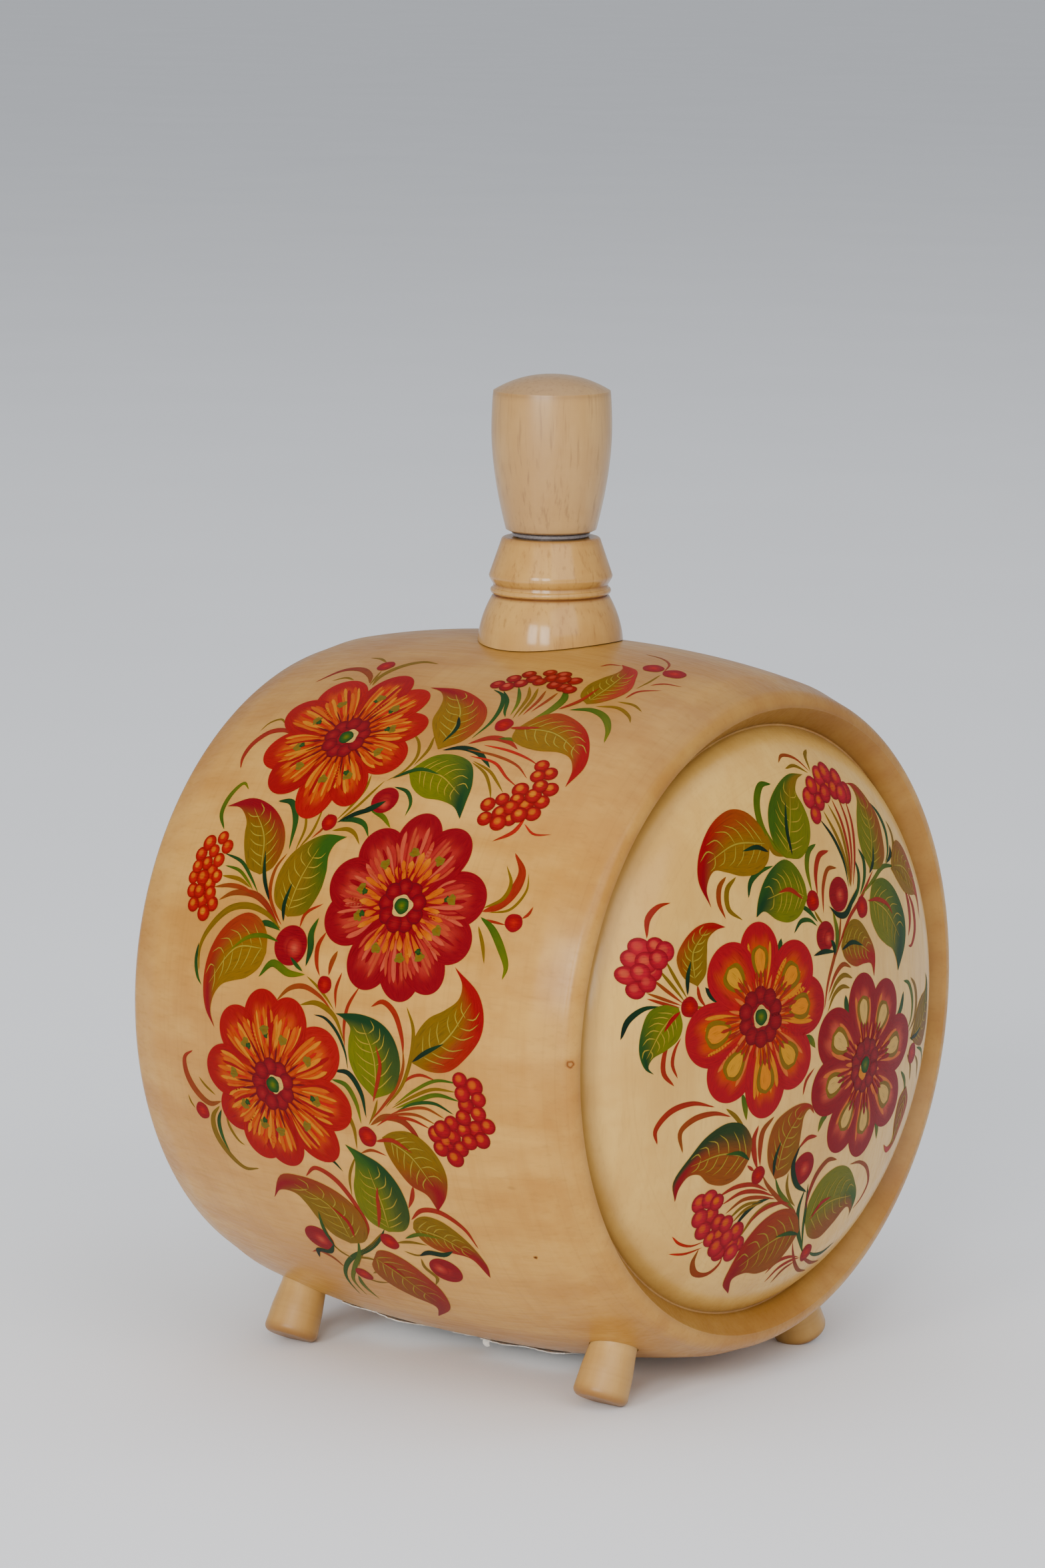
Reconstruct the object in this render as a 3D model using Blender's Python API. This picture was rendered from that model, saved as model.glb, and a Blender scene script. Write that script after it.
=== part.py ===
"""A painted wooden keg: a barrel-shaped flask lying on four peg feet, with a turned neck and a stopper.

Metres, +Z up. The origin is on the table, under the middle of the keg. The barrel's axis runs along X,
its front head faces +X, and the neck stands on the middle of the belly. All pieces are turned on a lathe,
so each one is an outline of (radius, height) points that is spun about its own Z axis.
"""

import math

import bmesh
import bpy

MM = 0.001
GAP = 0.3 * MM  # room between neighbouring pieces

# Barrel shell, lying along X
BELLY_RADIUS = 100 * MM
HALF_LENGTH = 77 * MM
END_DROP = 8.4 * MM  # how much slimmer the ends are than the belly
BELLY_POWER = 2.4
BELLY_STATIONS = (62 * MM, 50 * MM, 38 * MM, 25 * MM, 12 * MM, 0)
EDGE_ROUND = 5 * MM
LIP_INNER_RADIUS = 86.6 * MM
LIP_DEPTH = 6.5 * MM  # from the lip down to the groove round the head
REBATE_DEPTH = 10.3 * MM
WALL = 12 * MM
CAVITY_END_RADIUS = 75 * MM
CAVITY_STEPS = 5
AXIS_HEIGHT = 102.5 * MM  # barrel axis above the table

# Domed heads
HEAD_RADIUS = 81.2 * MM
HEAD_EDGE = 10 * MM
CROWN_RADIUS = 200 * MM
SHOULDER_RADIUS = 30 * MM
SHOULDER_SLOPE = math.radians(62)
HEAD_HOLLOW_RADIUS = 66 * MM
HEAD_HOLLOW_DEPTH = 12 * MM

# Neck. Heights are above the barrel axis.
BORE_RADIUS = 10 * MM
TENON_RADIUS = 12 * MM
TENON_END = 84 * MM
TENON_TOP_DEPTH = 24 * MM  # below the collar's top
NECK_HOLE_FROM = 70 * MM
NECK_HOLE_TO = 120 * MM
COLLAR_TOP = 128.1 * MM
COLLAR_MOUTH_RADIUS = 12.9 * MM
COLLAR_ROUND = 1 * MM
COLLAR_EDGE = 117.4 * MM
COLLAR_RADIUS = 17.3 * MM
COLLAR_UNDER_RADIUS = 17.1 * MM
COLLAR_UNDER_DROP = 0.7 * MM
HOLLOW_RADIUS = 16 * MM  # the narrow place between collar and bead
HOLLOW_HEIGHT = 114.9 * MM
BEAD_HEIGHT = 113.2 * MM
BEAD_RADIUS = 16.85 * MM
BEAD_ROUND = 0.9 * MM
BEAD_GROOVE_RADIUS = 15.9 * MM
BEAD_GROOVE_RISE = 0.4 * MM  # above the bell's top
BELL_TOP = 111.6 * MM
BELL_FOOT = 97.5 * MM
BELL_RADIUS = 20.4 * MM
BELL_BLANK_FOOT = 92 * MM  # the bell's foot before it is scribed to the belly
WAIST_RADIUS = 16.4 * MM

# Stopper: a turned wooden grip on a plastic plug
CAP_BASE = 129.7 * MM
CAP_SHOULDER = 168.6 * MM
CAP_TOP = 173.4 * MM
CAP_RADIUS = 16.8 * MM
CAP_WIDEST = 158 * MM
CAP_MIDWAY = 163 * MM  # between the widest place and the shoulder
CAP_CURVE = 0.38 * MM  # how much slimmer the grip is 10 mm above its widest place
CAP_TOP_POWER = 2.2
CAP_TAPER_POWER = 1.75
CAP_BASE_RADIUS = 12.5 * MM
CAP_BASE_FLAT_RADIUS = 11.4 * MM
PEG_RADIUS = 5 * MM
PEG_LENGTH = 9 * MM
FLANGE_RADIUS = 10.9 * MM
FLANGE_THICKNESS = 1 * MM
PLUG_TIP = 106 * MM
PLUG_CHAMFER = 2 * MM
PLUG_TAPER = 0.8 * MM  # off the bore's radius where the chamfer starts
PLUG_TIP_TAPER = 2.2 * MM  # off the bore's radius at the tip

# Feet, each along a radius of the barrel
FOOT_X = 55 * MM
FOOT_SPLAY = math.radians(25.5)
FOOT_ROOT = 89.5 * MM
FOOT_END = 111.3 * MM
FOOT_PEG_RADIUS = 6.5 * MM
FOOT_RADIUS = 7.7 * MM
FOOT_ROUND = 2 * MM
FOOT_SHOULDER = 96.5 * MM
FOOT_MIDDLE = 103 * MM
FOOT_MIDDLE_RADIUS = 7.3 * MM
FOOT_HOLE_FROM = 70 * MM
FOOT_HOLE_TO = 120 * MM
FOOT_HOLE_SLACK = 0.05 * MM
SANDING_RADIUS = 150 * MM
SANDING_DEPTH = 30 * MM

# Paper label stuck under the belly
LABEL_FROM = -47 * MM
LABEL_TO = 21 * MM
LABEL_HALF_ANGLE = math.radians(12)
LABEL_THICKNESS = 0.3 * MM

BARREL_STEPS = 60
NECK_STEPS = 32
FOOT_STEPS = 20


def clear_scene():
    for old in list(bpy.data.objects):
        bpy.data.objects.remove(old)


def material(name, colour, roughness):
    look = bpy.data.materials.new(name)
    look.use_nodes = True
    shader = look.node_tree.nodes["Principled BSDF"]
    shader.inputs["Base Color"].default_value = (*colour, 1)
    shader.inputs["Roughness"].default_value = roughness
    shader.inputs["Metallic"].default_value = 0
    return look


def arc(centre, radius, start, end, count):
    """Points round a centre, from one angle to the other. Angle 0 points outwards, 90 degrees up."""
    angles = [math.radians(start + (end - start) * i / count) for i in range(count + 1)]
    return [(centre[0] + radius * math.cos(a), centre[1] + radius * math.sin(a)) for a in angles]


def mirrored(points):
    return [(radius, -height) for radius, height in reversed(points)]


def placed(name, mesh, look):
    body = bpy.data.objects.new(name, mesh)
    bpy.context.scene.collection.objects.link(body)
    if look:
        mesh.materials.append(look)
    return body


def turned(name, outline, steps, look=None):
    """A solid of revolution. The outline runs down its outer side. It starts and ends on the axis, or it
    is a loop that goes back up an inner side."""
    shape = bmesh.new()
    points = [shape.verts.new((radius, 0, height)) for radius, height in outline]
    edges = [shape.edges.new(pair) for pair in zip(points, points[1:])]
    if outline[0][0] > 0:
        edges.append(shape.edges.new((points[-1], points[0])))
    bmesh.ops.spin(
        shape, geom=points + edges, cent=(0, 0, 0), axis=(0, 0, 1), angle=math.tau, steps=steps
    )
    bmesh.ops.remove_doubles(shape, verts=shape.verts, dist=1e-6)
    bmesh.ops.recalc_face_normals(shape, faces=shape.faces)
    mesh = bpy.data.meshes.new(name)
    shape.to_mesh(mesh)
    shape.free()
    mesh.shade_smooth()
    mesh.set_sharp_from_angle(angle=math.radians(35))
    return placed(name, mesh, look)


def cylinder(name, radius, bottom, top, steps):
    return turned(name, [(0, top), (radius, top), (radius, bottom), (0, bottom)], steps)


def combine(body, operation, tool):
    """Adds a Boolean, and hides the object that it uses."""
    step = body.modifiers.new(tool.name, "BOOLEAN")
    step.operation = operation
    step.object = tool
    step.solver = "EXACT"
    tool.hide_render = True
    tool.display_type = "WIRE"


def belly_radius(x):
    return BELLY_RADIUS - END_DROP * (abs(x) / HALF_LENGTH) ** BELLY_POWER


def outer_half(offset=0.0):
    """The barrel's outside from the front lip to the middle, as (radius, position along the axis)."""
    corner_radius = belly_radius(HALF_LENGTH)
    centre = (corner_radius - EDGE_ROUND, HALF_LENGTH - EDGE_ROUND)
    rounding = arc(centre, EDGE_ROUND, 90, 14, 4)
    belly = [(belly_radius(x), x) for x in BELLY_STATIONS]
    return [(radius + offset, height) for radius, height in rounding + belly]


def outer_side(offset=0.0):
    half = outer_half(offset)
    return half + mirrored(half)[1:]


def cavity_side():
    """The hollow inside, from the rear rebate to the front one."""
    reach = HALF_LENGTH - LIP_DEPTH - REBATE_DEPTH
    middle = BELLY_RADIUS - WALL
    spread = [i / CAVITY_STEPS for i in range(-CAVITY_STEPS, CAVITY_STEPS + 1)]
    return [(middle - (middle - CAVITY_END_RADIUS) * t * t, reach * t) for t in spread]


def barrel_shell(look):
    lip = HALF_LENGTH
    groove = HALF_LENGTH - LIP_DEPTH
    rebate_radius = HEAD_RADIUS + GAP
    rebate = groove - REBATE_DEPTH
    front = [(rebate_radius, rebate), (rebate_radius, groove), (LIP_INNER_RADIUS, lip)]
    shell = turned(
        "barrel_shell", front + outer_side() + mirrored(front) + cavity_side(), BARREL_STEPS, look
    )
    lay_along_x(shell)
    neck_hole = cylinder(
        "neck_hole", TENON_RADIUS + GAP, NECK_HOLE_FROM, NECK_HOLE_TO, NECK_STEPS
    )
    neck_hole.location.z = AXIS_HEIGHT
    combine(shell, "DIFFERENCE", neck_hole)
    hole_radius = FOOT_PEG_RADIUS + GAP + FOOT_HOLE_SLACK
    for side, x, splay in foot_places():
        foot_hole = cylinder(
            "hole_" + side, hole_radius, -FOOT_HOLE_TO, -FOOT_HOLE_FROM, FOOT_STEPS
        )
        stand_at(foot_hole, x, splay)
        combine(shell, "DIFFERENCE", foot_hole)


def lay_along_x(body, turn=90):
    """Puts a turned piece on the barrel's axis, with its top towards +X, or towards -X for -90."""
    body.location = (0, 0, AXIS_HEIGHT)
    body.rotation_euler = (0, math.radians(turn), 0)


def dome_outline():
    """A head's outside from its middle to its edge: a flat crown, then a tight shoulder."""
    edge = HALF_LENGTH - LIP_DEPTH
    shoulder = (
        HEAD_RADIUS - SHOULDER_RADIUS * math.sin(SHOULDER_SLOPE),
        edge - SHOULDER_RADIUS * math.cos(SHOULDER_SLOPE),
    )
    reach = math.sqrt((CROWN_RADIUS - SHOULDER_RADIUS) ** 2 - shoulder[0] ** 2)
    crown = (0, shoulder[1] - reach)
    join = math.degrees(math.atan2(reach, shoulder[0]))
    end = 90 - math.degrees(SHOULDER_SLOPE)
    crown_points = arc(crown, CROWN_RADIUS, 90, join, 6)
    crown_points[0] = (0, crown_points[0][1])
    return crown_points + arc(shoulder, SHOULDER_RADIUS, join, end, 5)[1:]


def head(name, turn, look):
    back = HALF_LENGTH - LIP_DEPTH - HEAD_EDGE
    spread = [1, 0.8, 0.55, 0.3]
    hollow = [(HEAD_HOLLOW_RADIUS * t, back + HEAD_HOLLOW_DEPTH * (1 - t * t)) for t in spread]
    outline = dome_outline() + [(HEAD_RADIUS, back)] + hollow + [(0, back + HEAD_HOLLOW_DEPTH)]
    lay_along_x(turned(name, outline, BARREL_STEPS, look), turn)


def bell_side():
    drop = [i / 6 for i in range(6, -1, -1)]
    rise = BELL_TOP - BELL_FOOT
    return [
        (BELL_RADIUS - (BELL_RADIUS - WAIST_RADIUS) * t * t, BELL_FOOT + rise * t) for t in drop
    ]


def neck_outline():
    """Collar, bead and bell, from the bore's top edge down the outside to inside the barrel wall."""
    collar = [(BORE_RADIUS, COLLAR_TOP)]
    collar += arc((COLLAR_MOUTH_RADIUS, COLLAR_TOP - COLLAR_ROUND), COLLAR_ROUND, 90, 20, 2)
    collar += [(COLLAR_RADIUS, COLLAR_EDGE), (COLLAR_UNDER_RADIUS, COLLAR_EDGE - COLLAR_UNDER_DROP)]
    hollow = [(HOLLOW_RADIUS, HOLLOW_HEIGHT)]
    bead = arc((BEAD_RADIUS - BEAD_ROUND, BEAD_HEIGHT), BEAD_ROUND, 75, -75, 4)
    groove = [(BEAD_GROOVE_RADIUS, BELL_TOP + BEAD_GROOVE_RISE)]
    foot = [(BELL_RADIUS, BELL_BLANK_FOOT), (BORE_RADIUS, BELL_BLANK_FOOT)]
    return collar + hollow + bead + groove + bell_side() + foot


def neck(look):
    """The neck's foot is scribed to the belly, and its tenon goes through the barrel's wall."""
    body = turned("neck", neck_outline(), NECK_STEPS, look)
    body.location.z = AXIS_HEIGHT
    belly = turned("belly_form", closed_at_axis(outer_side(GAP)), BARREL_STEPS)
    lay_along_x(belly)
    combine(body, "DIFFERENCE", belly)
    joint = COLLAR_TOP - TENON_TOP_DEPTH
    tenon = turned(
        "neck_tenon",
        [
            (BORE_RADIUS, joint),
            (TENON_RADIUS, joint),
            (TENON_RADIUS, TENON_END),
            (BORE_RADIUS, TENON_END),
        ],
        NECK_STEPS,
    )
    tenon.location.z = AXIS_HEIGHT
    combine(body, "UNION", tenon)


def closed_at_axis(outline):
    return [(0, outline[0][1])] + outline + [(0, outline[-1][1])]


def cap_side():
    """The grip: widest near its top, drawn in towards its base."""
    upper = [CAP_SHOULDER - MM, CAP_MIDWAY, CAP_WIDEST]
    points = [(CAP_RADIUS - CAP_CURVE * ((z - CAP_WIDEST) / (10 * MM)) ** 2, z) for z in upper]
    lower = [0.2, 0.4, 0.55, 0.7, 0.85, 0.96]
    drop = CAP_WIDEST - CAP_BASE
    taper = CAP_RADIUS - CAP_BASE_RADIUS
    return points + [(CAP_RADIUS - taper * t**CAP_TAPER_POWER, CAP_WIDEST - drop * t) for t in lower]


def stopper(wood, plastic):
    """Grip and plug move together, straight up out of the neck."""
    axis = bpy.data.objects.new("stopper_axis", None)
    bpy.context.scene.collection.objects.link(axis)
    axis.location = (0, 0, AXIS_HEIGHT)
    rise = CAP_TOP - CAP_SHOULDER
    spread = [0, 0.3, 0.55, 0.8, 0.95]
    top = [(CAP_RADIUS * t, CAP_SHOULDER + rise * (1 - t**CAP_TOP_POWER)) for t in spread]
    base = [(CAP_BASE_FLAT_RADIUS, CAP_BASE), (PEG_RADIUS + GAP, CAP_BASE)]
    socket = [(PEG_RADIUS + GAP, CAP_BASE + PEG_LENGTH + GAP), (0, CAP_BASE + PEG_LENGTH + GAP)]
    cap = turned("stopper_cap", top + cap_side() + base + socket, NECK_STEPS, wood)
    cap.parent = axis

    flange_top = CAP_BASE - GAP
    flange_base = flange_top - FLANGE_THICKNESS
    plug_outline = [
        (0, CAP_BASE + PEG_LENGTH),
        (PEG_RADIUS, CAP_BASE + PEG_LENGTH),
        (PEG_RADIUS, flange_top),
        (FLANGE_RADIUS, flange_top),
        (FLANGE_RADIUS, flange_base),
        (BORE_RADIUS - GAP, flange_base),
        (BORE_RADIUS - PLUG_TAPER, PLUG_TIP + PLUG_CHAMFER),
        (BORE_RADIUS - PLUG_TIP_TAPER, PLUG_TIP),
        (0, PLUG_TIP),
    ]
    plug = turned("stopper_plug", plug_outline, NECK_STEPS, plastic)
    plug.parent = axis


def foot_places():
    """(side, x, rotation about X) for each foot. Right is -Y, as seen from behind."""
    for end, x in (("front", FOOT_X), ("rear", -FOOT_X)):
        yield end + "_right", x, -FOOT_SPLAY
        yield end + "_left", x, FOOT_SPLAY


def stand_at(body, x, splay):
    body.location = (x, 0, AXIS_HEIGHT)
    body.rotation_euler = (splay, 0, 0)


def feet(look):
    """Tapered pegs. Each is sanded flat where it stands on the table."""
    sanding = cylinder("sanding_plane", SANDING_RADIUS, -SANDING_DEPTH, 0, 16)
    rounding = arc((FOOT_RADIUS - FOOT_ROUND, -FOOT_END + FOOT_ROUND), FOOT_ROUND, 0, -90, 4)
    outline = [(0, -FOOT_ROOT), (FOOT_PEG_RADIUS, -FOOT_ROOT), (FOOT_PEG_RADIUS, -FOOT_SHOULDER)]
    outline += [(FOOT_MIDDLE_RADIUS, -FOOT_MIDDLE)] + rounding + [(0, -FOOT_END)]
    for side, x, splay in foot_places():
        foot = turned("foot_" + side, outline, FOOT_STEPS, look)
        stand_at(foot, x, splay)
        combine(foot, "DIFFERENCE", sanding)


def paper_label(look):
    """What is left of a blank label: a thin skin under the belly, round the barrel's axis."""
    shape = bmesh.new()
    along, across = 9, 6
    grid = []
    for i in range(along + 1):
        x = LABEL_FROM + (LABEL_TO - LABEL_FROM) * i / along
        radius = belly_radius(x) + GAP
        row = []
        for j in range(across + 1):
            angle = LABEL_HALF_ANGLE * (2 * j / across - 1)
            place = (x, radius * math.sin(angle), AXIS_HEIGHT - radius * math.cos(angle))
            row.append(shape.verts.new(place))
        grid.append(row)
    for near, far in zip(grid, grid[1:]):
        for j in range(across):
            shape.faces.new((near[j], near[j + 1], far[j + 1], far[j]))
    mesh = bpy.data.meshes.new("paper_label")
    shape.to_mesh(mesh)
    shape.free()
    label = placed("paper_label", mesh, look)
    skin = label.modifiers.new("thickness", "SOLIDIFY")
    skin.thickness = LABEL_THICKNESS
    skin.offset = -1 if label_faces_up(mesh) else 1


def label_faces_up(mesh):
    return mesh.polygons[0].normal.z > 0


def main():
    clear_scene()
    honey_wood = material("honey_wood", (0.60, 0.38, 0.17), 0.35)
    pale_wood = material("pale_wood", (0.68, 0.50, 0.28), 0.35)
    barrel_shell(honey_wood)
    head("front_head", 90, pale_wood)
    head("rear_head", -90, pale_wood)
    neck(material("neck_wood", (0.62, 0.43, 0.22), 0.3))
    stopper(
        material("stopper_wood", (0.62, 0.43, 0.24), 0.4),
        material("grey_plastic", (0.12, 0.12, 0.14), 0.3),
    )
    feet(material("foot_wood", (0.66, 0.46, 0.24), 0.45))
    paper_label(material("paper", (0.82, 0.80, 0.77), 0.9))


main()
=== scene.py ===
"""The look of a painted wooden keg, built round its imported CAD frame.

Metres, +Z up, in the frame's own coordinates: the barrel lies along X with its painted head towards +X,
and its painted side faces -Y. Wooden pieces are turned: an outline of (radius, height) points in
millimetres is spun about the piece's own axis. The painting is laid on in thin films, one for each
flower, leaf, stem fan or berry cluster, drawn on two flat charts in millimetres and wrapped on the wood.
"""

import math

import bpy
import numpy as np
from mathutils import Matrix, Vector


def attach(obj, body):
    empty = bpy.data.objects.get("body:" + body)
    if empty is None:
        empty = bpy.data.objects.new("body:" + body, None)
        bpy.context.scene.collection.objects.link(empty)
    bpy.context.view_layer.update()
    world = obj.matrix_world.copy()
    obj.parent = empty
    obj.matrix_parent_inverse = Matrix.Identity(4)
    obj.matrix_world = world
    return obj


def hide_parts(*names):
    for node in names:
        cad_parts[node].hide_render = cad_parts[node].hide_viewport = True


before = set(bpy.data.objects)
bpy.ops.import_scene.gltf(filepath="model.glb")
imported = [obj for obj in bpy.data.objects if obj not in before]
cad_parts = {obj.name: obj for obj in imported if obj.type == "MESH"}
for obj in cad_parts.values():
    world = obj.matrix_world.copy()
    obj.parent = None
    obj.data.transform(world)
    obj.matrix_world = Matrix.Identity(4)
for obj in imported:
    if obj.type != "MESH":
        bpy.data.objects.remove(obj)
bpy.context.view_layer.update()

MM = 0.001
GAP = 0.3

# Millimetres. Heights are along each piece's own axis, from the middle of the barrel.
AXIS_HEIGHT = 102.5
BELLY_RADIUS = 100.0
HALF_LENGTH = 77.0
END_DROP = 8.4
BELLY_POWER = 2.4
EDGE_ROUND = 5.0
BELLY_FROM = 66.0
GROOVE_AT = 70.5
LIP_INNER_RADIUS = 86.6
REBATE_AT = 60.2
CAVITY_MIDDLE = 88.0
CAVITY_END = 75.0

HEAD_RADIUS = 81.2
HEAD_BACK = 60.5
CROWN_RADIUS = 200.0
SHOULDER_RADIUS = 30.0
SHOULDER_SLOPE = math.radians(62)
HOLLOW_RADIUS = 66.0
HOLLOW_DEPTH = 12.0

BORE_RADIUS = 10.0
TENON_RADIUS = 12.0
TENON_FOOT = 84.0
TENON_TOP = 104.1
NECK_FOOT = 92.0
NECK_TOP = 128.1
BELL_FOOT = 97.5
BELL_TOP = 111.6
BEAD_MIDDLE = 113.2

CAP_RADIUS = 16.8
CAP_FOOT = 129.7
CAP_WIDEST = 158.0
CAP_RIM = 168.6
SOCKET_TOP = 139.0
PLUG_TOP = 138.7
PLUG_SHOULDER = 128.4
PLUG_FOOT = 106.0

FOOT_X = 55.0
FOOT_SPLAY = math.radians(25.5)
PEG_RADIUS = 6.5
PEG_TOP = -89.5
FOOT_END = -111.3

LABEL_FROM, LABEL_TO = -50.0, 26.0
LABEL_UNDER, LABEL_OVER = 0.12, 0.42


# ---------------------------------------------------------------- small mathematics


def smooth(low, high, value):
    t = np.clip((value - low) / (high - low), 0, 1)
    return t * t * (3 - 2 * t)


def mix(one, other, share):
    share = np.asarray(share)[..., None]
    return np.asarray(one) * (1 - share) + np.asarray(other) * share


def arc(centre, radius, start, end, count):
    """Points round a centre, from one angle to the other, in degrees. Angle 0 points outwards."""
    angles = np.radians(np.linspace(start, end, count + 1))
    return [(centre[0] + radius * math.cos(a), centre[1] + radius * math.sin(a)) for a in angles]


def mirrored(points):
    return [(radius, -height) for radius, height in reversed(points)]


def refined(points, longest=1.6):
    """The same outline with no step longer than this."""
    out = [points[0]]
    for (r0, z0), (r1, z1) in zip(points, points[1:]):
        parts = max(1, math.ceil(math.hypot(r1 - r0, z1 - z0) / longest))
        out += [(r0 + (r1 - r0) * i / parts, z0 + (z1 - z0) * i / parts) for i in range(1, parts + 1)]
    return out


def belly_radius(x):
    return BELLY_RADIUS - END_DROP * (np.abs(x) / HALF_LENGTH) ** BELLY_POWER


# ---------------------------------------------------------------- turned pieces


def link(name, data):
    made = bpy.data.objects.new(name, data)
    bpy.context.scene.collection.objects.link(made)
    return made


def add_piece(name, points, faces, matrix=Matrix.Identity(4)):
    mesh = bpy.data.meshes.new(name)
    mesh.from_pydata([tuple(p) for p in points], [], [tuple(f) for f in faces])
    mesh.update()
    piece = link(name, mesh)
    piece.matrix_world = matrix
    return piece


def turned(name, outline, steps, matrix=Matrix.Identity(4)):
    """A solid of revolution. The outline runs down its outer side. It starts and ends on the axis, or it
    is a loop that goes back up an inner side."""
    points, rings = [], []
    for radius, height in outline:
        if radius < 1e-6:
            rings.append([len(points)] * steps)
            points.append((0, 0, height * MM))
            continue
        rings.append([len(points) + i for i in range(steps)])
        for i in range(steps):
            a = math.tau * i / steps
            points.append((radius * math.cos(a) * MM, radius * math.sin(a) * MM, height * MM))
    if outline[0][0] > 1e-6:
        rings.append(rings[0])
    faces = []
    for upper, lower in zip(rings, rings[1:]):
        for i in range(steps):
            j = (i + 1) % steps
            corners = [upper[i], lower[i], lower[j], upper[j]]
            face = [c for k, c in enumerate(corners) if c not in corners[:k]]
            if len(face) > 2:
                faces.append(face)
    return add_piece(name, points, faces, matrix)


def cylinder(name, radius, bottom, top, steps, matrix):
    return turned(name, [(0, top), (radius, top), (radius, bottom), (0, bottom)], steps, matrix)


def combine(body, operation, tool):
    """Applies one Boolean and removes the piece that it uses."""
    step = body.modifiers.new(tool.name, "BOOLEAN")
    step.operation = operation
    step.object = tool
    step.solver = "EXACT"
    bpy.context.view_layer.update()
    graph = bpy.context.evaluated_depsgraph_get()
    result = bpy.data.meshes.new_from_object(body.evaluated_get(graph))
    body.modifiers.clear()
    body.data = result
    bpy.data.objects.remove(tool)


def finish_surface(piece, material, sharp=35):
    piece.data.materials.clear()
    piece.data.materials.append(material)
    piece.data.shade_smooth()
    piece.data.set_sharp_from_angle(angle=math.radians(sharp))


def shade_and_stain(piece, shade, crown=0.0):
    """Stores how much darker each point is, from the point's (radius, height) in millimetres: real stain,
    and painted shade in grooves and hollows. For a piece along the barrel's axis, crown adds painted
    shade on top."""
    count = len(piece.data.vertices)
    place = np.zeros(count * 3, np.float32)
    piece.data.vertices.foreach_get("co", place)
    place = place.reshape(-1, 3) / MM
    radius = np.hypot(place[:, 0], place[:, 1])
    up = -place[:, 0] / np.maximum(radius, 1e-6)
    # crown is painted shade: the upper side of the barrel made darker
    value = shade(radius, place[:, 2]) + crown * smooth(0.6, 0.98, up)
    layer = piece.data.attributes.new("ShadeAndStain", "FLOAT", "POINT")
    layer.data.foreach_set("value", np.clip(value, 0, 1).astype(np.float32))


def along_x(turn=90):
    """From a piece's own axis to the barrel's, its top towards +X, or towards -X for -90."""
    return Matrix.Translation((0, 0, AXIS_HEIGHT * MM)) @ Matrix.Rotation(math.radians(turn), 4, "Y")


UPRIGHT = Matrix.Translation((0, 0, AXIS_HEIGHT * MM))


def foot_matrix(x, splay):
    return Matrix.Translation((x * MM, 0, AXIS_HEIGHT * MM)) @ Matrix.Rotation(splay, 4, "X")


def feet_places():
    for end, x in (("front", FOOT_X), ("rear", -FOOT_X)):
        yield end + "_right", x, -FOOT_SPLAY
        yield end + "_left", x, FOOT_SPLAY


def outer_side(offset=0.0):
    corner = float(belly_radius(HALF_LENGTH))
    rounding = arc((corner - EDGE_ROUND, HALF_LENGTH - EDGE_ROUND), EDGE_ROUND, 90, 14, 10)
    belly = [(float(belly_radius(x)), x) for x in np.linspace(BELLY_FROM, 0, 34)]
    half = [(radius + offset, height) for radius, height in rounding + belly]
    return half + mirrored(half)[1:]


def cavity_side():
    spread = np.linspace(-1, 1, 21)
    return [(CAVITY_MIDDLE - (CAVITY_MIDDLE - CAVITY_END) * t * t, REBATE_AT * t) for t in spread]


def shell_shade(radius, height):
    """Painted shade in the groove round the head and inside the rim's cone, and darker towards both ends."""
    reach = np.abs(height)
    groove = 0.5 * smooth(2.0, 0.2, np.hypot(radius - HEAD_RADIUS, (reach - GROOVE_AT) * 0.8))
    cone = 0.2 * smooth(89.0, 86.0, radius) * smooth(69.0, 71.0, reach)
    rim = 0.12 * smooth(68.0, 73.0, reach)
    return np.maximum(groove, cone) + rim


def barrel_shell(material):
    rebate = HEAD_RADIUS + GAP
    front = [(rebate, REBATE_AT), (rebate, GROOVE_AT), (LIP_INNER_RADIUS, HALF_LENGTH)]
    outline = refined(front) + outer_side() + refined(mirrored(front)) + cavity_side()
    shell = turned("keg_barrel", outline, 288, along_x())
    # Through the wall go the neck's tenon and the feet's pegs
    combine(shell, "DIFFERENCE", cylinder("bore", TENON_RADIUS + GAP, 70, 120, 96, UPRIGHT))
    for side, x, splay in feet_places():
        place = foot_matrix(x, splay)
        combine(shell, "DIFFERENCE", cylinder("foot_hole", PEG_RADIUS + GAP, -120, -70, 64, place))
    # Painted shade in the groove, inside the rim and on top of the barrel; darker towards both ends
    shade_and_stain(shell, shell_shade, 0.3)
    finish_surface(shell, material)
    adopt(shell, "keg", "barrel_wood", "barrel_shell")


def adopt(piece, body, slot, *nodes):
    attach(piece, body)
    if nodes:
        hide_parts(*nodes)


# The dome of a head: a flat crown that runs into a tighter shoulder
SHOULDER_CENTRE = (
    HEAD_RADIUS - SHOULDER_RADIUS * math.sin(SHOULDER_SLOPE),
    GROOVE_AT - SHOULDER_RADIUS * math.cos(SHOULDER_SLOPE),
)
CROWN_CENTRE = SHOULDER_CENTRE[1] - math.sqrt(
    (CROWN_RADIUS - SHOULDER_RADIUS) ** 2 - SHOULDER_CENTRE[0] ** 2
)
JOIN_ANGLE = math.atan2(SHOULDER_CENTRE[1] - CROWN_CENTRE, SHOULDER_CENTRE[0])
JOIN_RADIUS = CROWN_RADIUS * math.cos(JOIN_ANGLE)


def dome_outline():
    join = math.degrees(JOIN_ANGLE)
    end = 90 - math.degrees(SHOULDER_SLOPE)
    crown = arc((0, CROWN_CENTRE), CROWN_RADIUS, 90, join, 36)
    crown[0] = (0, crown[0][1])
    return crown + arc(SHOULDER_CENTRE, SHOULDER_RADIUS, join, end, 22)[1:]


def head_shade(radius, height):
    """An amber band of painted shade just inside the groove, and the groove's own dark line."""
    front = smooth(60.0, 66.0, height)
    band = 0.3 * smooth(77.0, 80.2, radius) + 0.2 * smooth(80.4, 81.1, radius)
    return band * front


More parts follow.
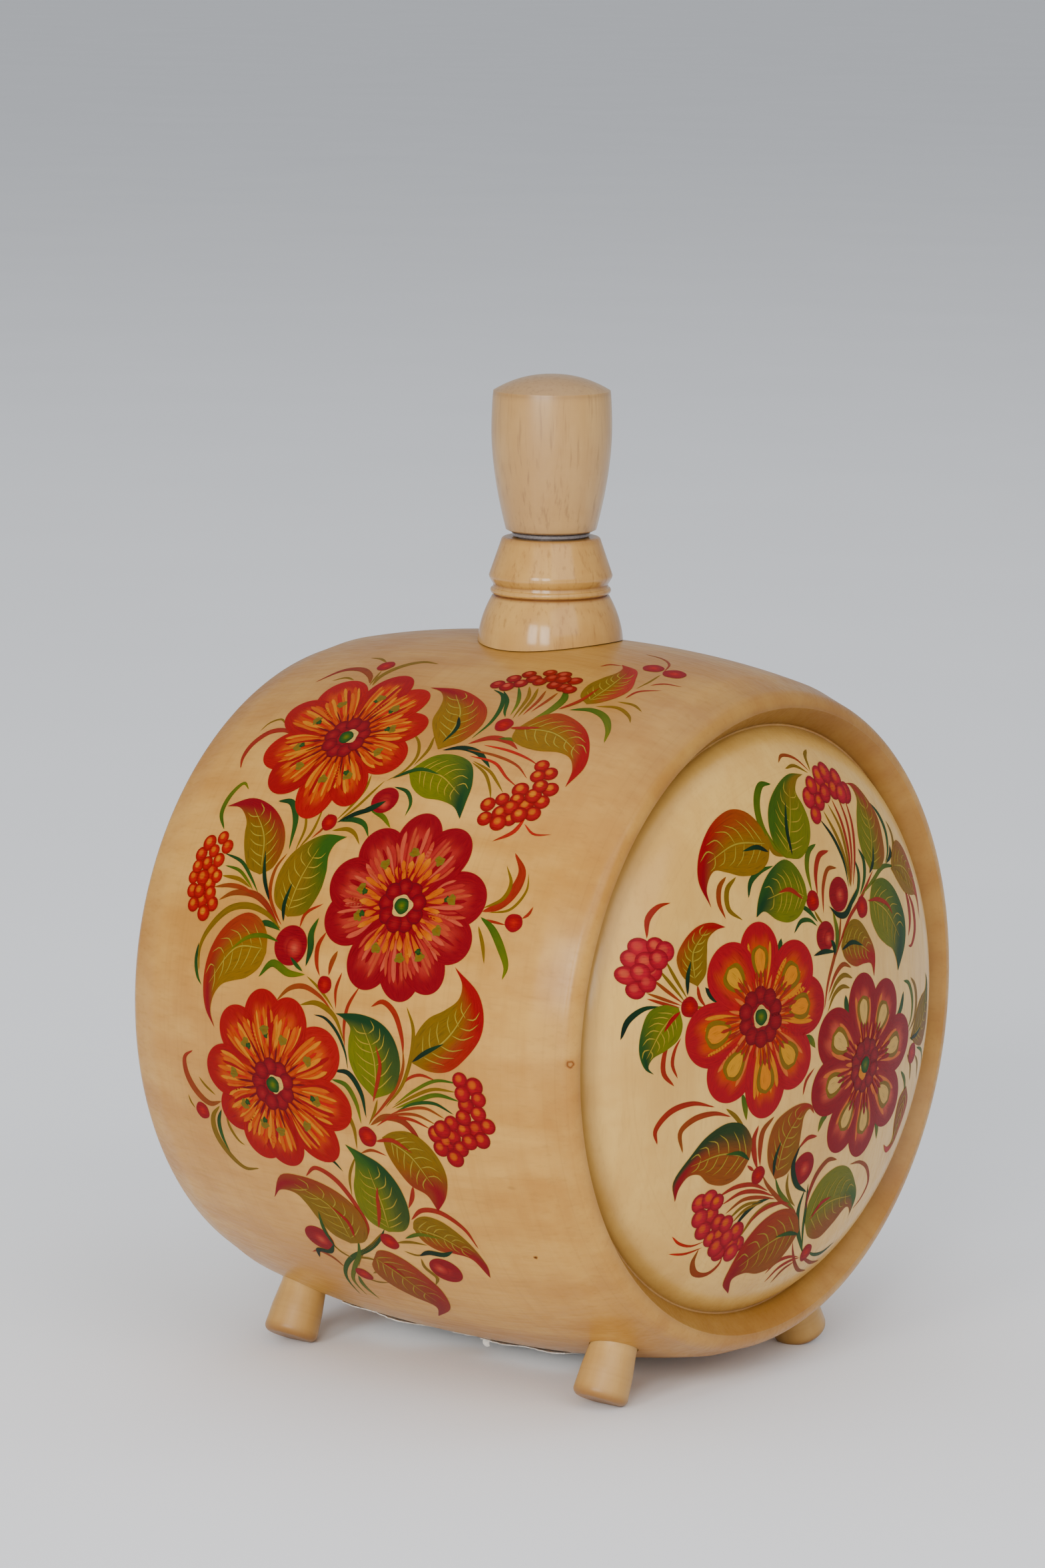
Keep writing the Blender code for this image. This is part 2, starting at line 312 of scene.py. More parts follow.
def head(node, turn, material):
    spread = [1, 0.8, 0.55, 0.3]
    hollow = [(HOLLOW_RADIUS * t, HEAD_BACK + HOLLOW_DEPTH * (1 - t * t)) for t in spread]
    back = [(HEAD_RADIUS, GROOVE_AT), (HEAD_RADIUS, HEAD_BACK)]
    outline = dome_outline()[:-1] + refined(back, 2.5) + hollow + [(0, HEAD_BACK + HOLLOW_DEPTH)]
    piece = turned("keg_" + node, outline, 256, along_x(turn))
    # Painted shade as an amber band just inside the groove, and the groove's dark line
    shade_and_stain(piece, head_shade)
    finish_surface(piece, material)
    adopt(piece, "keg", "head_wood", node)


def bell_side():
    return [(20.4 - 4.0 * t * t, BELL_FOOT + (BELL_TOP - BELL_FOOT) * t) for t in np.linspace(1, 0, 14)]


def neck_outline():
    collar = [(BORE_RADIUS, NECK_TOP)] + arc((12.9, NECK_TOP - 1), 1.0, 90, 20, 6)
    collar += [(17.3, 117.4), (17.1, 116.7)]
    bead = arc((15.95, BEAD_MIDDLE), 0.9, 75, -75, 10)
    foot = [(20.4, NECK_FOOT), (BORE_RADIUS, NECK_FOOT)]
    return collar + [(16.0, 114.9)] + bead + [(15.9, 112.0)] + bell_side() + foot


def neck_shade(radius, height):
    """Reddish lines in the two grooves beside the bead, and darker at the top of the collar, just under the
    stopper.
    """
    under = smooth(0.7, 0.1, np.abs(height - 112.0)) * (radius > 14)
    over = 0.5 * smooth(0.8, 0.2, np.abs(height - 115.1)) * (radius > 14)
    lip = 0.35 * smooth(126.8, 128.0, height)
    return np.maximum(np.maximum(under, over), lip)


def neck(material):
    piece = turned("keg_neck", refined(neck_outline(), 1.2), 128, UPRIGHT)
    ends = outer_side(GAP)
    form = turned("form", [(0, ends[0][1])] + ends + [(0, ends[-1][1])], 288, along_x())
    combine(piece, "DIFFERENCE", form)
    tenon = [(BORE_RADIUS, TENON_TOP), (TENON_RADIUS, TENON_TOP)]
    tenon += [(TENON_RADIUS, TENON_FOOT), (BORE_RADIUS, TENON_FOOT)]
    combine(piece, "UNION", turned("tenon", tenon, 128, UPRIGHT))
    shade_and_stain(piece, neck_shade)
    finish_surface(piece, material)
    adopt(piece, "keg", "neck_wood", "neck")


def cap_outline():
    """The grip: its domed top, its side, then the foot and the socket for the plug."""
    top = [(CAP_RADIUS * t, CAP_RIM + 4.8 * (1 - t**2.2)) for t in np.linspace(0, 0.97, 16)]
    upper = [
        (CAP_RADIUS - 0.38 * ((z - CAP_WIDEST) / 10) ** 2, z) for z in (167.6, 165.5, 163, 160.5, CAP_WIDEST)
    ]
    narrowing = CAP_WIDEST - CAP_FOOT
    lower = [(CAP_RADIUS - 4.3 * t**1.75, CAP_WIDEST - narrowing * t) for t in np.linspace(0.05, 0.98, 20)]
    return top + upper + lower + [(11.4, CAP_FOOT), (5.3, CAP_FOOT), (5.3, SOCKET_TOP), (0, SOCKET_TOP)]


def cap_shade(radius, height):
    crown = 0.25 * smooth(167.0, 169.5, height)
    edge = 0.35 * smooth(0.9, 0.1, np.hypot(radius - 16.5, height - 168.2))
    base = 0.3 * smooth(132.5, 129.8, height)
    return np.maximum(np.maximum(crown, edge), base)


def stopper(wood, plastic):
    cap = turned("stopper_grip", refined(cap_outline(), 1.2), 128, UPRIGHT)
    shade_and_stain(cap, cap_shade)
    finish_surface(cap, wood, 30)
    adopt(cap, "stopper", "stopper_wood", "stopper_cap")
    outline = [(0, PLUG_TOP), (5, PLUG_TOP), (5, 129.4), (10.7, 129.4), (10.9, 129.2), (10.9, 128.6)]
    outline += [(10.7, PLUG_SHOULDER), (9.7, PLUG_SHOULDER), (9.2, 108.0), (8.6, 106.7)]
    outline += [(7.8, PLUG_FOOT), (0, PLUG_FOOT)]
    plug = turned("stopper_plug_body", refined(outline, 1.2), 96, UPRIGHT)
    finish_surface(plug, plastic)
    adopt(plug, "stopper", "plug_plastic", "stopper_plug")


def foot_shade(radius, height):
    return 0.6 * smooth(-108.0, -111.0, height) + 0.2 * smooth(-97.0, -101.0, height)


def feet(material):
    outline = [(0, PEG_TOP), (PEG_RADIUS, PEG_TOP), (PEG_RADIUS, -96.5), (7.3, -103)]
    outline += arc((5.7, FOOT_END + 2), 2.0, 0, -90, 10) + [(0, FOOT_END)]
    for side, x, splay in feet_places():
        place = foot_matrix(x, splay)
        foot = turned("keg_foot_" + side, refined(outline, 0.9), 72, place)
        combine(foot, "DIFFERENCE", cylinder("sanding", 150, -30, 0, 32, Matrix.Identity(4)))
        shade_and_stain(foot, foot_shade)
        finish_surface(foot, material)
        adopt(foot, "keg", "foot_wood", "foot_" + side)


# ---------------------------------------------------------------- materials


class Shader:
    """A small helper that adds and links nodes of one material."""

    def __init__(self, name):
        self.material = bpy.data.materials.new(name)
        self.material.use_nodes = True
        self.tree = self.material.node_tree
        self.surface = self.tree.nodes["Principled BSDF"]

    def node(self, kind, settings=(), **inputs):
        node = self.tree.nodes.new("ShaderNode" + kind)
        for key, value in dict(settings).items():
            setattr(node, key, value)
        for key, value in inputs.items():
            self.feed(node.inputs[key.replace("_", " ")], value)
        return node

    def feed(self, socket, value):
        if isinstance(value, bpy.types.NodeSocket):
            self.tree.links.new(value, socket)
        else:
            socket.default_value = value

    def where(self, stretch, shift=(0, 0, 0)):
        """The piece's own coordinates, stretched."""
        place = self.node("TexCoord").outputs["Object"]
        return self.node("Mapping", Vector=place, Scale=stretch, Location=shift).outputs[0]

    def round_and_along(self):
        """The distance from the piece's own Z axis, and the height along it."""
        place = self.node("TexCoord").outputs["Object"]
        flat = self.node("Mapping", Vector=place, Scale=(1, 1, 0)).outputs[0]
        radius = self.node("VectorMath", {"operation": "LENGTH"}, Vector=flat).outputs["Value"]
        height = self.node("SeparateXYZ", Vector=place).outputs["Z"]
        return self.node("CombineXYZ", X=radius, Z=height).outputs[0]

    def noise(self, place, scale, detail=4.0, rough=0.55, twist=0.0):
        made = self.node(
            "TexNoise", Vector=place, Scale=scale, Detail=detail, Roughness=rough, Distortion=twist
        )
        return made.outputs["Fac"]

    def span(self, value, low, high, new_low=0.0, new_high=1.0):
        made = self.node("MapRange", {"interpolation_type": "SMOOTHSTEP"})
        for index, number in enumerate((value, low, high, new_low, new_high)):
            self.feed(made.inputs[index], number)
        return made.outputs[0]

    def maths(self, operation, one, other):
        made = self.node("Math", {"operation": operation})
        self.feed(made.inputs[0], one)
        self.feed(made.inputs[1], other)
        return made.outputs[0]

    def blend(self, share, one, other, kind="MIX"):
        made = self.node("Mix", {"data_type": "RGBA", "blend_type": kind})
        self.feed(made.inputs[0], share)
        for index, colour in ((6, one), (7, other)):
            self.feed(made.inputs[index], (*colour, 1) if isinstance(colour, tuple) else colour)
        return made.outputs[2]

    def attribute(self, name):
        return self.node("Attribute", {"attribute_name": name})

    def set(self, **values):
        for key, value in values.items():
            self.feed(self.surface.inputs[key.replace("_", " ")], value)

    def bump(self, height, strength, distance):
        made = self.node("Bump", Strength=strength, Distance=distance, Height=height)
        self.feed(self.surface.inputs["Normal"], made.outputs[0])


def wood(
    name, pale, honey, dark, along=(1, 1, 0.09), mottle=0.8, coat=0.4, coat_rough=0.2, lathe=0.1, pore=0.12
):
    """Lacquered pale hardwood. The grain runs along the piece's own Z unless along says otherwise."""
    across = (0.25, 0.25, 1) if along[2] < 1 else (1, 0.25, 1)
    s = Shader(name)
    fibre = s.noise(s.where(along), 900.0, 3.0, 0.6)
    figure = s.noise(s.where(along), 120.0, 4.0, 0.55, 0.4)
    cloud = s.noise(s.where((1, 1, 0.55), (0.3, 0.1, 0.2)), 30.0, 5.0, 0.62)
    band = s.span(figure, 0.3, 0.72)
    patch = s.span(cloud, 0.4, 0.63)
    colour = s.blend(s.maths("MULTIPLY", band, 0.55), pale, honey)
    colour = s.blend(s.maths("MULTIPLY", patch, mottle), colour, honey)
    pores = s.span(fibre, 0.52, 0.72, 0.0, pore)
    colour = s.blend(pores, colour, dark)
    speck = s.noise(s.where((1, 1, 0.6), (0.7, 0.2, 0)), 160.0, 1.0, 0.3)
    colour = s.blend(s.span(speck, 0.82, 0.86, 0.0, 0.4), colour, dark)
    turning = s.noise(s.round_and_along(), 900.0, 2.0, 0.5)
    colour = s.blend(s.span(turning, 0.5, 0.75, 0.0, lathe), colour, dark)
    curl = s.noise(s.where(across, (0.2, 0.5, 0.1)), 210.0, 2.0, 0.5, 0.3)
    colour = s.blend(s.span(curl, 0.48, 0.75, 0.0, 0.28), colour, honey)
    # Darker by the stored value: real stain, and painted shade in grooves, hollows and on top of the barrel
    colour = s.blend(s.attribute("ShadeAndStain").outputs["Fac"], colour, dark)
    s.set(Base_Color=colour, Roughness=s.span(fibre, 0.3, 0.7, 0.34, 0.5))
    s.set(Coat_Weight=coat, Coat_Roughness=coat_rough, Coat_IOR=1.5, Specular_IOR_Level=0.2)
    wave = s.noise(s.where((1, 1, 1)), 55.0, 2.0, 0.5)
    s.bump(s.maths("ADD", s.maths("MULTIPLY", fibre, 0.05), wave), 0.12, 0.0006)
    return s.material


def plug_plastic():
    s = Shader("grey_plastic")
    grain = s.noise(s.where((1, 1, 1)), 700.0, 2.0)
    colour = s.blend(grain, (0.12, 0.10, 0.10), (0.18, 0.16, 0.155))
    s.set(Base_Color=colour, Roughness=s.span(grain, 0.3, 0.7, 0.22, 0.34))
    s.bump(grain, 0.1, 0.0002)
    return s.material


# ---------------------------------------------------------------- painting: charts and films


def on_belly(x, radius, height):
    """The point at this x and radius, at a height along the barrel's surface above mid-height."""
    angle = height / BELLY_RADIUS
    return np.stack([x, -radius * np.cos(angle), AXIS_HEIGHT + radius * np.sin(angle)], -1) * MM


def on_side(place, lift):
    """From the side chart, (x, height along the surface), to the barrel."""
    return on_belly(place[..., 0], belly_radius(place[..., 0]) + lift, place[..., 1])


def on_edge(place, lift):
    """Across the rounding of the front rim from the side inwards, and its height as in on_side."""
    turn = place[..., 0] / EDGE_ROUND
    reach = EDGE_ROUND + lift
    radius = float(belly_radius(HALF_LENGTH)) - EDGE_ROUND + reach * np.cos(turn)
    return on_belly(HALF_LENGTH - EDGE_ROUND + reach * np.sin(turn), radius, place[..., 1])


def on_head(place, lift):
    """From the head chart, (y, z) seen from the front, to the dome."""
    out = np.hypot(place[..., 0], place[..., 1])
    crown = out < JOIN_RADIUS
    centre_r = np.where(crown, 0.0, SHOULDER_CENTRE[0])
    centre_x = np.where(crown, CROWN_CENTRE, SHOULDER_CENTRE[1])
    bend = np.where(crown, CROWN_RADIUS, SHOULDER_RADIUS)
    run = np.minimum(out - centre_r, bend)
    rise = np.sqrt(bend**2 - run**2)
    grow = 1 + lift / bend
    share = (centre_r + run * grow) / np.maximum(out, 1e-6)
    return np.stack(
        [centre_x + rise * grow, place[..., 0] * share, AXIS_HEIGHT + place[..., 1] * share], -1
    ) * MM


def path(text):
    """Chart points in millimetres, written as x,height pairs."""
    return [tuple(float(number) for number in pair.split(",")) for pair in text.split()]


def heading(angle):
    """The unit vectors along an angle in degrees and to the left of it."""
    a = math.radians(angle)
    out = np.array([math.cos(a), math.sin(a)])
    return out, np.array([-out[1], out[0]])


def curve(points, count):
    """A smooth line through chart points."""
    p = np.array(points, float)
    if len(p) == 2:
        p = np.array([p[0], (p[0] + p[1]) / 2, p[1]])
    step = np.concatenate([[0], np.cumsum(np.sqrt(np.linalg.norm(np.diff(p, axis=0), axis=1)))])
    slope = np.gradient(p, step, axis=0)
    t = np.linspace(0, step[-1], count)
    i = np.clip(np.searchsorted(step, t, side="right") - 1, 0, len(p) - 2)
    h = step[i + 1] - step[i]
    u = ((t - step[i]) / h)[:, None]
    h = h[:, None]
    return (
        (2 * u**3 - 3 * u**2 + 1) * p[i]
        + (u**3 - 2 * u**2 + u) * h * slope[i]
        + (3 * u**2 - 2 * u**3) * p[i + 1]
        + (u**3 - u**2) * h * slope[i + 1]
    )


def gradient(t, colours):
    """Colours spread evenly from t = 0 to t = 1."""
    colours = np.array(colours, float)
    if len(colours) == 1:
        return np.broadcast_to(colours[0], np.shape(t) + (3,))
    at = np.clip(t, 0, 1) * (len(colours) - 1)
    i = np.minimum(at.astype(int), len(colours) - 2)
    return mix(colours[i], colours[i + 1], at - i)


class Film:
    """One painted piece, gathered patch by patch in millimetres on its chart."""

    def __init__(self, wrap, lift):
        self.wrap = wrap
        self.lift = lift
        self.turn = 0
        self.count = 0
        self.points, self.faces, self.pigment, self.brush = [], [], [], []

    def patch(self, grid, colour, brush, layer):
        """A grid of chart points with its colours. A higher layer lies over a lower one."""
        rows, columns = grid.shape[:2]
        self.turn = (self.turn + 1) % 3
        lift = self.lift + 0.02 * layer + 0.006 * self.turn
        self.points.append(self.wrap(grid, lift).reshape(-1, 3))
        self.pigment.append(np.broadcast_to(colour, (rows, columns, 3)).reshape(-1, 3))
        self.brush.append(brush.reshape(-1, 2))
        i, j = np.meshgrid(np.arange(rows - 1), np.arange(columns - 1), indexing="ij")
        a = self.count + i * columns + j
        quads = np.stack([a, a + 1, a + columns + 1, a + columns], -1).reshape(-1, 4)
        d = np.diff(grid, axis=0)[:, :-1], np.diff(grid, axis=1)[:-1]
        turned_over = (d[1][..., 0] * d[0][..., 1] - d[1][..., 1] * d[0][..., 0]).sum() < 0
        self.faces.append(quads[:, ::-1] if turned_over else quads)
        self.count += rows * columns

    def stroke(self, points, width, colours, peak=0.5, blunt=0.0, layer=0):
        """One pull of the brush. It is widest at peak, and blunt is how wide its ends stay."""
        rough = np.array(points, float)
        length = np.linalg.norm(np.diff(rough, axis=0), axis=1).sum()
        count = max(6, int(length / 0.9))
        line = curve(points, count)
        t = np.linspace(0, 1, count)
        swell = np.sin(math.pi * t ** (math.log(0.5) / math.log(peak))) ** 0.8
        half = width / 2 * np.maximum(swell, blunt * smooth(0, 0.03, t) * smooth(1, 0.97, t))
        along = np.gradient(line, axis=0)
        along /= np.maximum(np.linalg.norm(along, axis=1, keepdims=True), 1e-9)
        side = np.stack([-along[:, 1], along[:, 0]], -1)
        across = np.linspace(-1, 1, 5)
        grid = line[:, None] + side[:, None] * (half[:, None] * across)[..., None]
        colour = gradient(np.repeat(t[:, None], 5, 1), colours) * (1 - 0.12 * across[:, None] ** 2)
        brush = np.stack([np.repeat(t[:, None] * length, 5, 1), half[:, None] * across + 7], -1)
        self.patch(grid, colour, brush, layer)

    def disc(self, centre, radius, colours, layer=0, squash=1.0, angle=0.0, rings=5, wobble=0.0):
        """A round dab, its colours from the middle outwards."""
        around = max(14, int(radius * 9))
        a = np.linspace(0, math.tau, around + 1)
        r = np.linspace(0, 1, rings + 1)
        reach = radius * (1 + wobble * np.sin(3 * a + centre[0]) + wobble * np.sin(5 * a + centre[1]))
        flat = np.stack([np.cos(a) * reach, np.sin(a) * reach * squash], -1)
        grid = np.array(centre) + r[:, None, None] * (flat @ np.array(heading(angle)))[None]
        self.patch(grid, gradient(np.repeat(r[:, None], around + 1, 1), colours), grid + 3, layer)

    def between(self, left, right, colour, layer=0, cell=0.9):
        """A filled shape between two smooth sides. colour is a function of how far along (0 to 1) and
        across (-1 at the left side, 1 at the right)."""
        length = np.linalg.norm(np.diff(np.array(left, float), axis=0), axis=1).sum()
        rows = max(8, int(length / cell))
        one, other = curve(left, rows), curve(right, rows)
        widest = np.linalg.norm(one - other, axis=1).max()
        columns = max(4, int(widest / cell))
        t = np.linspace(-1, 1, columns + 1)
        share = (t / 2 + 0.5)[None, :, None]
        grid = one[:, None] * (1 - share) + other[:, None] * share
        s = np.repeat(np.linspace(0, 1, rows)[:, None], columns + 1, 1)
        brush = np.stack([s * length, share[..., 0] * widest + 0 * s], -1)
        self.patch(grid, colour(s, np.repeat(t[None], rows, 0)), brush, layer)
        return one, other

    def piece(self, name, material):
        mesh = bpy.data.meshes.new(name)
        points = np.concatenate(self.points)
        faces = np.concatenate(self.faces)
        mesh.vertices.add(len(points))
        mesh.vertices.foreach_set("co", points.ravel().astype(np.float32))
        mesh.loops.add(faces.size)
        mesh.loops.foreach_set("vertex_index", faces.ravel().astype(np.int32))
        mesh.polygons.add(len(faces))
        mesh.polygons.foreach_set("loop_start", np.arange(0, faces.size, 4, dtype=np.int32))
        mesh.update(calc_edges=True)
        for name_of, kind, field, last, parts in (
            ("Pigment", "FLOAT_COLOR", "color", 1.0, self.pigment),
            ("Brush", "FLOAT_VECTOR", "vector", 0.0, self.brush),
        ):
            values = np.pad(np.concatenate(parts), ((0, 0), (0, 1)), constant_values=last)
            layer = mesh.attributes.new(name_of, kind, "POINT")
            layer.data.foreach_set(field, values.ravel().astype(np.float32))
        mesh.validate()
        mesh.shade_smooth()
        mesh.materials.append(material)
        adopt(link(name, mesh), "keg", "paint")


# ---------------------------------------------------------------- painting: colours and motifs

CRIMSON = (0.16, 0.001, 0.005)
WINE = (0.09, 0.001, 0.004)
RED = (0.205, 0.0008, 0.0025)
EMBER = (0.27, 0.0022, 0.0025)
SCARLET = (0.32, 0.004, 0.0004)
ORANGE = (0.34, 0.034, 0.0)
AMBER = (0.37, 0.068, 0.0)
YELLOW = (0.42, 0.13, 0.0)
BLOOM = (0.31, 0.034, 0.012)
PINK = (0.36, 0.05, 0.022)
CARDINAL = (0.245, 0.0018, 0.0065)
CARMINE = (0.30, 0.006, 0.016)
ROSE = (0.26, 0.012, 0.01)
CREAM = (0.42, 0.25, 0.06)
GOLD_CREAM = (0.4, 0.175, 0.004)
PEACH = (0.42, 0.09, 0.012)
OLIVE = (0.13, 0.07, 0.0008)
GOLD = (0.155, 0.076, 0.0012)
BROWN = (0.16, 0.04, 0.003)
RUST = (0.2, 0.012, 0.004)
LEAF = (0.095, 0.098, 0.0008)
GREEN = (0.018, 0.058, 0.003)
PINE = (0.004, 0.027, 0.006)
INK = (0.003, 0.008, 0.005)
HONEY = (0.44, 0.21, 0.04)
TAN = (0.36, 0.17, 0.05)
VEIN = (0.24, 0.17, 0.015)
MOSS = (0.11, 0.085, 0.008)

# The colours of a stroke from its start to its end
INKS = {
    "c": (BROWN, CRIMSON), "r": (RED,), "w": (RUST,), "b": (BROWN, RUST), "o": (OLIVE,),
    "y": (GOLD, OLIVE), "g": (GREEN, LEAF), "d": (PINE, GREEN), "k": (INK, PINE), "s": (SCARLET, RUST),
}


def petal(film, centre, angle, length, half, look, random):
    """A broad petal: a dark rim, a bright middle with brush marks towards the flower's heart."""
    out, side = heading(angle)
    rows, columns = max(16, int(length / 0.9)), max(12, int(half * 2 / 0.9))
    s = np.sin(np.linspace(0, math.pi / 2, rows)) ** 0.85
    bulge = 0.63
    inner = 0.42 + 0.58 * np.sin(np.clip(s / bulge, 0, 1) * math.pi / 2)
    outer = np.sqrt(np.clip(1 - ((s - bulge) / (1 - bulge)) ** 2, 0, 1))
    width = half * np.where(s < bulge, inner, outer)[:, None]
    t = np.linspace(-1, 1, columns + 1)[None]
    reach = (3.0 + (length - 3.0) * s)[:, None]
    grid = centre + reach[..., None] * out + (width * t)[..., None] * side
    depth = np.minimum(width * (1 - np.abs(t)) * 1.25, length - reach) + 0.5 * np.sin(9 * t + angle)
    share = smooth(look["rim"] * 0.55, look["rim"] * 1.45, depth)
    rim = mix(look["edge"], look["edge_far"], random.uniform(0.0, 0.35))
    colour = mix(np.broadcast_to(rim, share.shape + (3,)), look["inside"], share)
    glow = smooth(look["rim"] * 0.9, look["rim"] * 1.9, depth) * random.uniform(0.15, 0.75)
    colour = mix(colour, look["glow"], glow)
    colour = mix(colour, look["heart"], smooth(0.5, 0.1, s[:, None] + 0 * t) * 0.55)
    brush = np.stack([reach + 0 * t, half * t + 0 * reach], -1)
    film.patch(grid, colour, brush, 0 if random.random() < 0.5 else 1)


def petal_marks(film, centre, angle, length, half, look, random):
    """Fine pulls of the brush along a petal, then its olive dab."""
    out, side = heading(angle)
    for k, place in enumerate(np.linspace(-0.68, 0.68, look["pulls"])):
        near = centre + out * random.uniform(7.5, 10.5) + side * place * half * 0.5
        reach = length * (random.uniform(0.70, 0.86) - 0.14 * place**2)
        far = centre + out * reach + side * place * half
        middle = (near + far) / 2 + side * place * 0.9
        ink = look["streaks"][k % len(look["streaks"])]
        film.stroke([far, middle, near], random.uniform(0.8, 1.5), [ink], 0.3, 0.2, 2)
    for place in np.linspace(-0.5, 0.5, look["sparks"]):
        near = centre + out * random.uniform(7.5, 9.0) + side * place * half * 0.5
        far = near + out * random.uniform(3.5, 7.5) + side * place * half * 0.3
        ink = YELLOW if random.random() < 0.3 else AMBER
        film.stroke([far, near], random.uniform(1.2, 2.0), [ink, AMBER, ORANGE], 0.3, 0.2, 3)
    spot = centre + out * length * random.uniform(0.52, 0.6)
    film.disc(spot, 1.35, [OLIVE, MOSS], 4, 1.15, angle, 3, 0.14)
    if random.random() < 0.5:
        near = spot - out * 1.4 + side * random.uniform(-0.6, 0.6)
        film.disc(near, 0.9, [GREEN, PINE], 4, 1.0, 0, 3, 0.16)


def teardrop(film, centre, angle, length, half, look, random):
    """A pale drop in an olive outline, with blunt threads at its foot. On a sunny petal the drop is yellow,
    between bright pulls of the brush."""
    out, side = heading(angle)
    start, end = 0.40 * length, 0.76 * length
    sunny = look["sunny"] > random.random()
    for place in (-0.5, -0.36, -0.22, 0.22, 0.36, 0.5) if sunny else (-0.42, 0.42):
        near = centre + out * random.uniform(7.5, 9.5) + side * place * half * 0.5
        far = centre + out * length * random.uniform(0.68, 0.8) + side * place * half * 1.15
        pull = [far, (near + far) / 2 + side * place, near]
        film.stroke(pull, random.uniform(1.0, 1.6), [YELLOW if sunny else PEACH], 0.3, 0.2, 1)
    for share, ink, layer in ((1.0, OLIVE, 2), (0.62, YELLOW if sunny else look["drop"], 3)):
        middle, reach = (start + end) / 2, (end - start) / 2 * (0.5 + 0.5 * share)
        t = np.linspace(-1, 1, 9)
        bulge = half * 0.42 * share * np.sqrt(np.clip(1 - t**2, 0, 1)) * (1 + 0.35 * t)
        line = centre + out * (middle + reach * t)[:, None]
        one, other = line + side * bulge[:, None], line - side * bulge[:, None]
        film.between(one, other, lambda s, t: gradient(s, [ink]), layer, 0.8)
    for place in (-0.55, 0.0, 0.55):
        near = centre + out * 7.5 + side * place * 2.2
        far = centre + out * length * random.uniform(0.46, 0.56) + side * place * half * 0.42
        film.stroke([far, near], random.uniform(0.9, 1.3), [look["thread"]], 0.2, 0.2, 5)


def stamens(film, centre, look, random):
    """Fine dark threads and bright ones that run outwards from the heart."""
    for k in range(look["threads"]):
        out, _ = heading(360 * (k + random.uniform(-0.3, 0.3)) / look["threads"])
        dark = k % 2
        end = random.uniform(9.0, 14.5 if dark else 12.5)
        width = random.uniform(0.45, 0.7) * (1.0 if dark else 1.9)
        ink = look["thread" if dark else "bright"]
        film.stroke([out * 6.5 + centre, out * end + centre], width, [ink], 0.45, 0.25, 3)


def heart(film, centre, look, random):
    """A scalloped ring of dabs, a pale ring and a green dot. A glint is a second, yellow dab beside them."""
    ring, beads = look["ring"], look["beads"]
    film.disc(centre, ring + 0.6, [CRIMSON], 4, rings=4)
    for k in range(beads):
        out, _ = heading(360 * k / beads + math.degrees(0.3))
        shine = mix(CRIMSON, ROSE, random.uniform(0.2, 0.6))
        film.disc(centre + ring * out, 2.5, [shine, CRIMSON, WINE], 5, rings=4)
    pale = centre + look["pale_at"]
    film.disc(pale, look["pale"], [CREAM], 6, 0.95, 20, 3, 0.07)
    film.disc(centre, 2.25, [LEAF, GREEN, PINE], 7, 1.05, 60, 4, 0.03)
    if look["glint"]:
        film.disc(pale + [-0.4, -0.8], 2.1, [YELLOW], 7, 0.8, 150, 3, 0.05)
        film.disc(centre, 2.35, [LEAF, GREEN, PINE], 8, 1.0, 60, 4, 0.03)


def flower(name, wrap, centre, petals, look, seed, paint):
    """A flower. Its petals bear either pale drops or pulls of the brush."""
    random = np.random.default_rng(seed)
    film = Film(wrap, 0.06)
    centre = np.array(centre)
    for shape in petals:
        petal(film, centre, *shape, look, random)
        if "drop" in look:
            teardrop(film, centre, *shape, look, random)
    if "pulls" in look:
        for shape in petals:
            petal_marks(film, centre, *shape, look, random)
    stamens(film, centre, look, random)
    heart(film, centre, look, random)
    film.piece(name, paint)


def leaf(film, near, far, edge, lean, ink, left, right, rib):
    """A leaf between its two sides. The left one starts at the foot and ends at the tip. near is the colour
    at the foot, far at the tip, edge along one side: the right one where lean is above 0, the left one
    below. The rib and its ink come last."""

    def colour(s, t):
        lit = t * np.sign(lean)
        body = mix(np.broadcast_to(near, s.shape + (3,)), far, smooth(0.42, 0.78, s + 0.16 * lit))
        share = smooth(-0.1, 0.75, lit) * abs(lean) * smooth(0.02, 0.3, s) * smooth(1.05, 0.8, s)
        return mix(body, edge, share)

    left = path(left)
    veins(film, *film.between(left, [left[0], *path(right), left[-1]], colour))
    if rib:
        film.stroke(path(rib), 1.3, INKS[ink], 0.45, 0.12, 3)


def veins(film, one, other):
    """Pale curved lines from the middle towards both sides."""
    middle = (one + other) / 2
    count = len(one)
    for share in np.linspace(0.16, 0.6, 6):
        i = int(share * count)
        k = min(count - 1, i + int(0.13 * count))
        for side in (one, other):
            end = middle[k] + (side[k] - middle[k]) * 0.72
            bow = middle[i] + (side[i] - middle[i]) * 0.42 + (middle[k] - middle[i]) * 0.35
            film.stroke([middle[i], bow, end], 0.36, [VEIN], 0.4, 0.3, 2)
    spine = [middle[int(share * count)] for share in (0.12, 0.4, 0.72)]
    film.stroke(spine, 0.45, [VEIN], 0.4, 0.3, 2)


def berries(film, centres, radius, skin, core):
    random = np.random.default_rng(len(centres))
    for k, centre in enumerate(centres):
        place = centre + random.uniform(-0.2, 0.2, 2)
        size = radius * random.uniform(0.9, 1.1)
        share = random.uniform(0.45, 1.0)
        rind = mix(skin, CRIMSON, 0.3 * random.random())
        light = mix(skin, core, share)
        film.disc(place, size, [rind, rind, rind * 0.55], 2 + k % 4)
        glow = place + np.array([-0.16, 0.2]) * size
        film.disc(glow, size * 0.52, [light, light, rind], 3 + k % 4, rings=3)


def strokes(film, text, peak=0.45, blunt=0.22, layer=0):
    """Pulls of the brush, parted by semicolons. Each is an ink, a width and its points."""
    for row in text.split(";"):
        ink, width, points = row.split(None, 2)
        film.stroke(path(points), float(width), INKS[ink], peak, blunt, layer)


